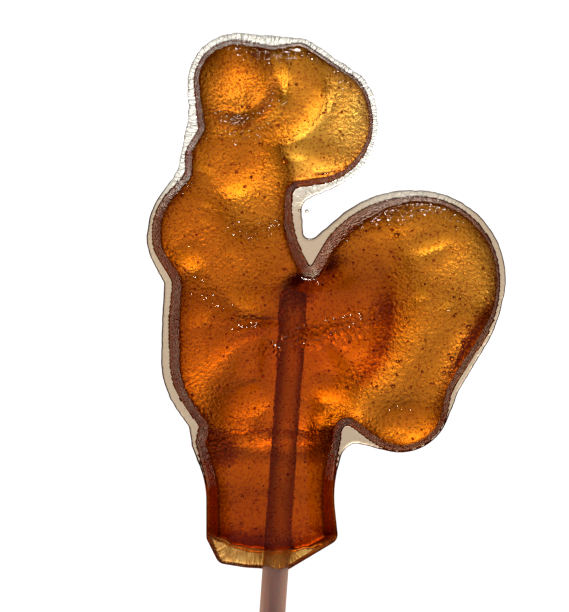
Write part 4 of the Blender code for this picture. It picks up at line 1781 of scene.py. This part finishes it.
@dataclass
class Studio:
    """The pale floor, the soft light and the camera over it.

    The floor and the wall behind it are plain and pale, and only the camera sees them. The light
    that comes up through the sugar is a soft panel far below, brightest straight down and towards
    the comb, where it has a brighter window in it. A low warm ring round the horizon shines in
    from the sides. None of these is mirrored in the skin, which glints in the window light alone
    and takes a faint sheen from the room's. Panel and window sizes are sideways slopes from
    straight down, and ring heights are parts of straight up.
    """

    shift: np.ndarray
    floor_size: float = 6.0
    floor_glow: float = 1.05
    floor_colour: Colour = (0.25, 0.25, 0.25)
    floor_roughness: float = 0.9
    wall_radius: float = 2.7
    wall_sides: int = 96
    panel: float = 0.76
    panel_across: Span = (0.58, 0.42)
    panel_along: Span = (0.42, 0.6)
    window: float = 3.3
    window_slope: Span = (-0.16, 0.40)
    window_size: Span = (0.38, 0.20)
    panel_tint: Colour = (1.0, 1.0, 0.97)
    least_down: float = 0.02
    horizon: Span = (0.0, -0.1)
    ring: float = 1.2
    ring_tint: Colour = (1.0, 0.66, 0.42)
    ring_height: float = -0.2
    ring_width: float = 0.35
    ceiling: float = 0.04
    ceiling_tint: Colour = (1.0, 1.0, 1.0)
    lamp_tint: Colour = (1.0, 0.94, 0.90)
    lamp_aim: tuple[float, float, float] = (0.0, 0.04, 0.0)
    lens: float = 150.0
    sensor: float = 36.0
    nearest_seen: float = 0.01

    def pale(self) -> bpy.types.Material:
        """The plain pale surface of the floor and of the wall."""
        return MaterialTree("pale_floor").shaded({
            "Base Color": self.floor_colour, "Roughness": self.floor_roughness,
            "Emission Color": (1.0, 1.0, 1.0), "Emission Strength": self.floor_glow})

    def floor(self) -> None:
        """A wide floor, and a round wall that it runs up to."""
        material = self.pale()
        bpy.ops.mesh.primitive_plane_add(size=self.floor_size)
        floor = bpy.context.object
        floor.name = "floor"
        bpy.ops.mesh.primitive_cylinder_add(vertices=self.wall_sides, radius=self.wall_radius,
                                            depth=self.floor_size, end_fill_type='NOTHING')
        wall = bpy.context.object
        wall.name = "wall"
        for thing in (floor, wall):
            thing.data.materials.append(material)
            thing.visible_diffuse = False
            thing.visible_glossy = False
            thing.visible_transmission = False
            thing.visible_shadow = False

    def light_from_below(self, tree: Tree, where: Socket) -> list[Socket]:
        """Shape the light that comes up from below.

        Args:
            tree: The world's tree.
            where: The direction that is looked in.

        Returns:
            How bright the panel is there, and how bright its window is.
        """
        parts = tree.add("ShaderNodeSeparateXYZ", {0: where}).outputs
        down = tree.math('MAXIMUM', tree.math('MULTIPLY', parts["Z"], -1.0), self.least_down)
        slopes = [tree.math('DIVIDE', parts[name], down) for name in "XY"]
        panel, window = [], []
        for slope, sizes in zip(slopes, (self.panel_across, self.panel_along)):
            for side, size in zip(('MINIMUM', 'MAXIMUM'), sizes):
                panel.append(tree.bell(tree.math(side, slope, 0.0), size))
        for slope, middle, size in zip(slopes, self.window_slope, self.window_size):
            window.append(tree.bell(tree.math('SUBTRACT', slope, middle), size))
        below = tree.fade(parts["Z"], *self.horizon)
        return [tree.math('MULTIPLY', *bells, bright, below)
                for bells, bright in ((panel, self.panel), (window, self.window))]

    def sky(self) -> None:
        """The panel and its window below, the warm ring and the dim room above."""
        world = bpy.data.worlds.new("studio")
        world.use_nodes = True
        bpy.context.scene.world = world
        tree = Tree(world.node_tree)
        where = tree.add("ShaderNodeTexCoord").outputs["Generated"]
        panel, window = self.light_from_below(tree, where)
        height = tree.add("ShaderNodeSeparateXYZ", {0: where}).outputs["Z"]
        ring = tree.bell(tree.math('SUBTRACT', height, self.ring_height), self.ring_width)
        parts = []
        for tint, level in ((self.panel_tint, tree.math('ADD', panel, window)),
                            (self.ring_tint, tree.math('MULTIPLY', ring, self.ring)),
                            (self.ceiling_tint, self.ceiling)):
            parts.append(tree.add("ShaderNodeBackground", {"Color": tint, "Strength": level}).outputs[0])
        light = parts[0]
        for part in parts[1:]:
            light = tree.add("ShaderNodeAddShader", {0: light, 1: part}).outputs[0]
        tree.add("ShaderNodeOutputWorld", {"Surface": light})
        world.cycles_visibility.glossy = False

    def hang(self, lamp: Lamp) -> None:
        """Hang one lamp so that it faces the figure.

        Args:
            lamp: The lamp.
        """
        data = bpy.data.lights.new(lamp.name, 'AREA')
        data.shape = 'RECTANGLE'
        data.size, data.size_y = lamp.size
        data.energy = lamp.brightness * math.pi * data.size * data.size_y
        data.color = self.lamp_tint
        hung = bpy.data.objects.new(lamp.name, data)
        bpy.context.scene.collection.objects.link(hung)
        hung.location = lamp.place
        aim = Vector(self.lamp_aim) - Vector(lamp.place)
        hung.rotation_euler = aim.to_track_quat('-Z', 'Y').to_euler()
        hung.visible_glossy = lamp.glints
        hung.visible_transmission = False

    def camera(self) -> None:
        """Straight over the figure, framed as the photograph is."""
        data = bpy.data.cameras.new("camera")
        data.lens = self.lens
        data.sensor_width = self.sensor
        data.clip_start = self.nearest_seen
        camera = bpy.data.objects.new("camera", data)
        bpy.context.scene.collection.objects.link(camera)
        seen = PHOTO_HEIGHT / PIXELS_PER_MM
        x = (PHOTO_WIDTH / 2 - FOOT_PIXEL[0]) / PIXELS_PER_MM + self.shift[0]
        y = (FOOT_PIXEL[1] - PHOTO_HEIGHT / 2) / PIXELS_PER_MM + self.shift[1]
        camera.location = Vector((x, y, self.shift[2] + seen * self.lens / self.sensor)) * MM
        bpy.context.scene.camera = camera

    def build(self) -> None:
        """Everything round the lollipop."""
        self.floor()
        self.sky()
        for lamp in LAMPS:
            self.hang(lamp)
        self.camera()
        scene = bpy.context.scene
        scene.view_settings.view_transform = 'Standard'
        scene.cycles.max_bounces = 20
        scene.cycles.transmission_bounces = 20
        scene.cycles.glossy_bounces = 8
        scene.cycles.diffuse_bounces = 4


def main() -> None:
    """Build the lollipop's pieces and the studio round them."""
    logging.basicConfig(level=logging.INFO, format="%(name)s %(message)s")
    casting = Casting()
    finished("candy_casting", casting.build(), SugarFinish().material(), "burnt_sugar", "candy")
    inclusions = Inclusions(casting)
    speck = SpeckFinish().material()
    finished("candy_specks", inclusions.specks(speck), speck, "burnt_sugar")
    finished("candy_dust", inclusions.dust(speck), speck, "burnt_sugar")
    wall = BubbleFinish().material()
    finished("candy_bubbles", inclusions.bubbles(wall), wall, "burnt_sugar")
    stick = Stick(shift=casting.shift)
    finished("stick_round", stick.build(), StickFinish().material(), "white_stick", "stick")
    Studio(shift=casting.shift).build()


if __name__ == "__main__":
    main()
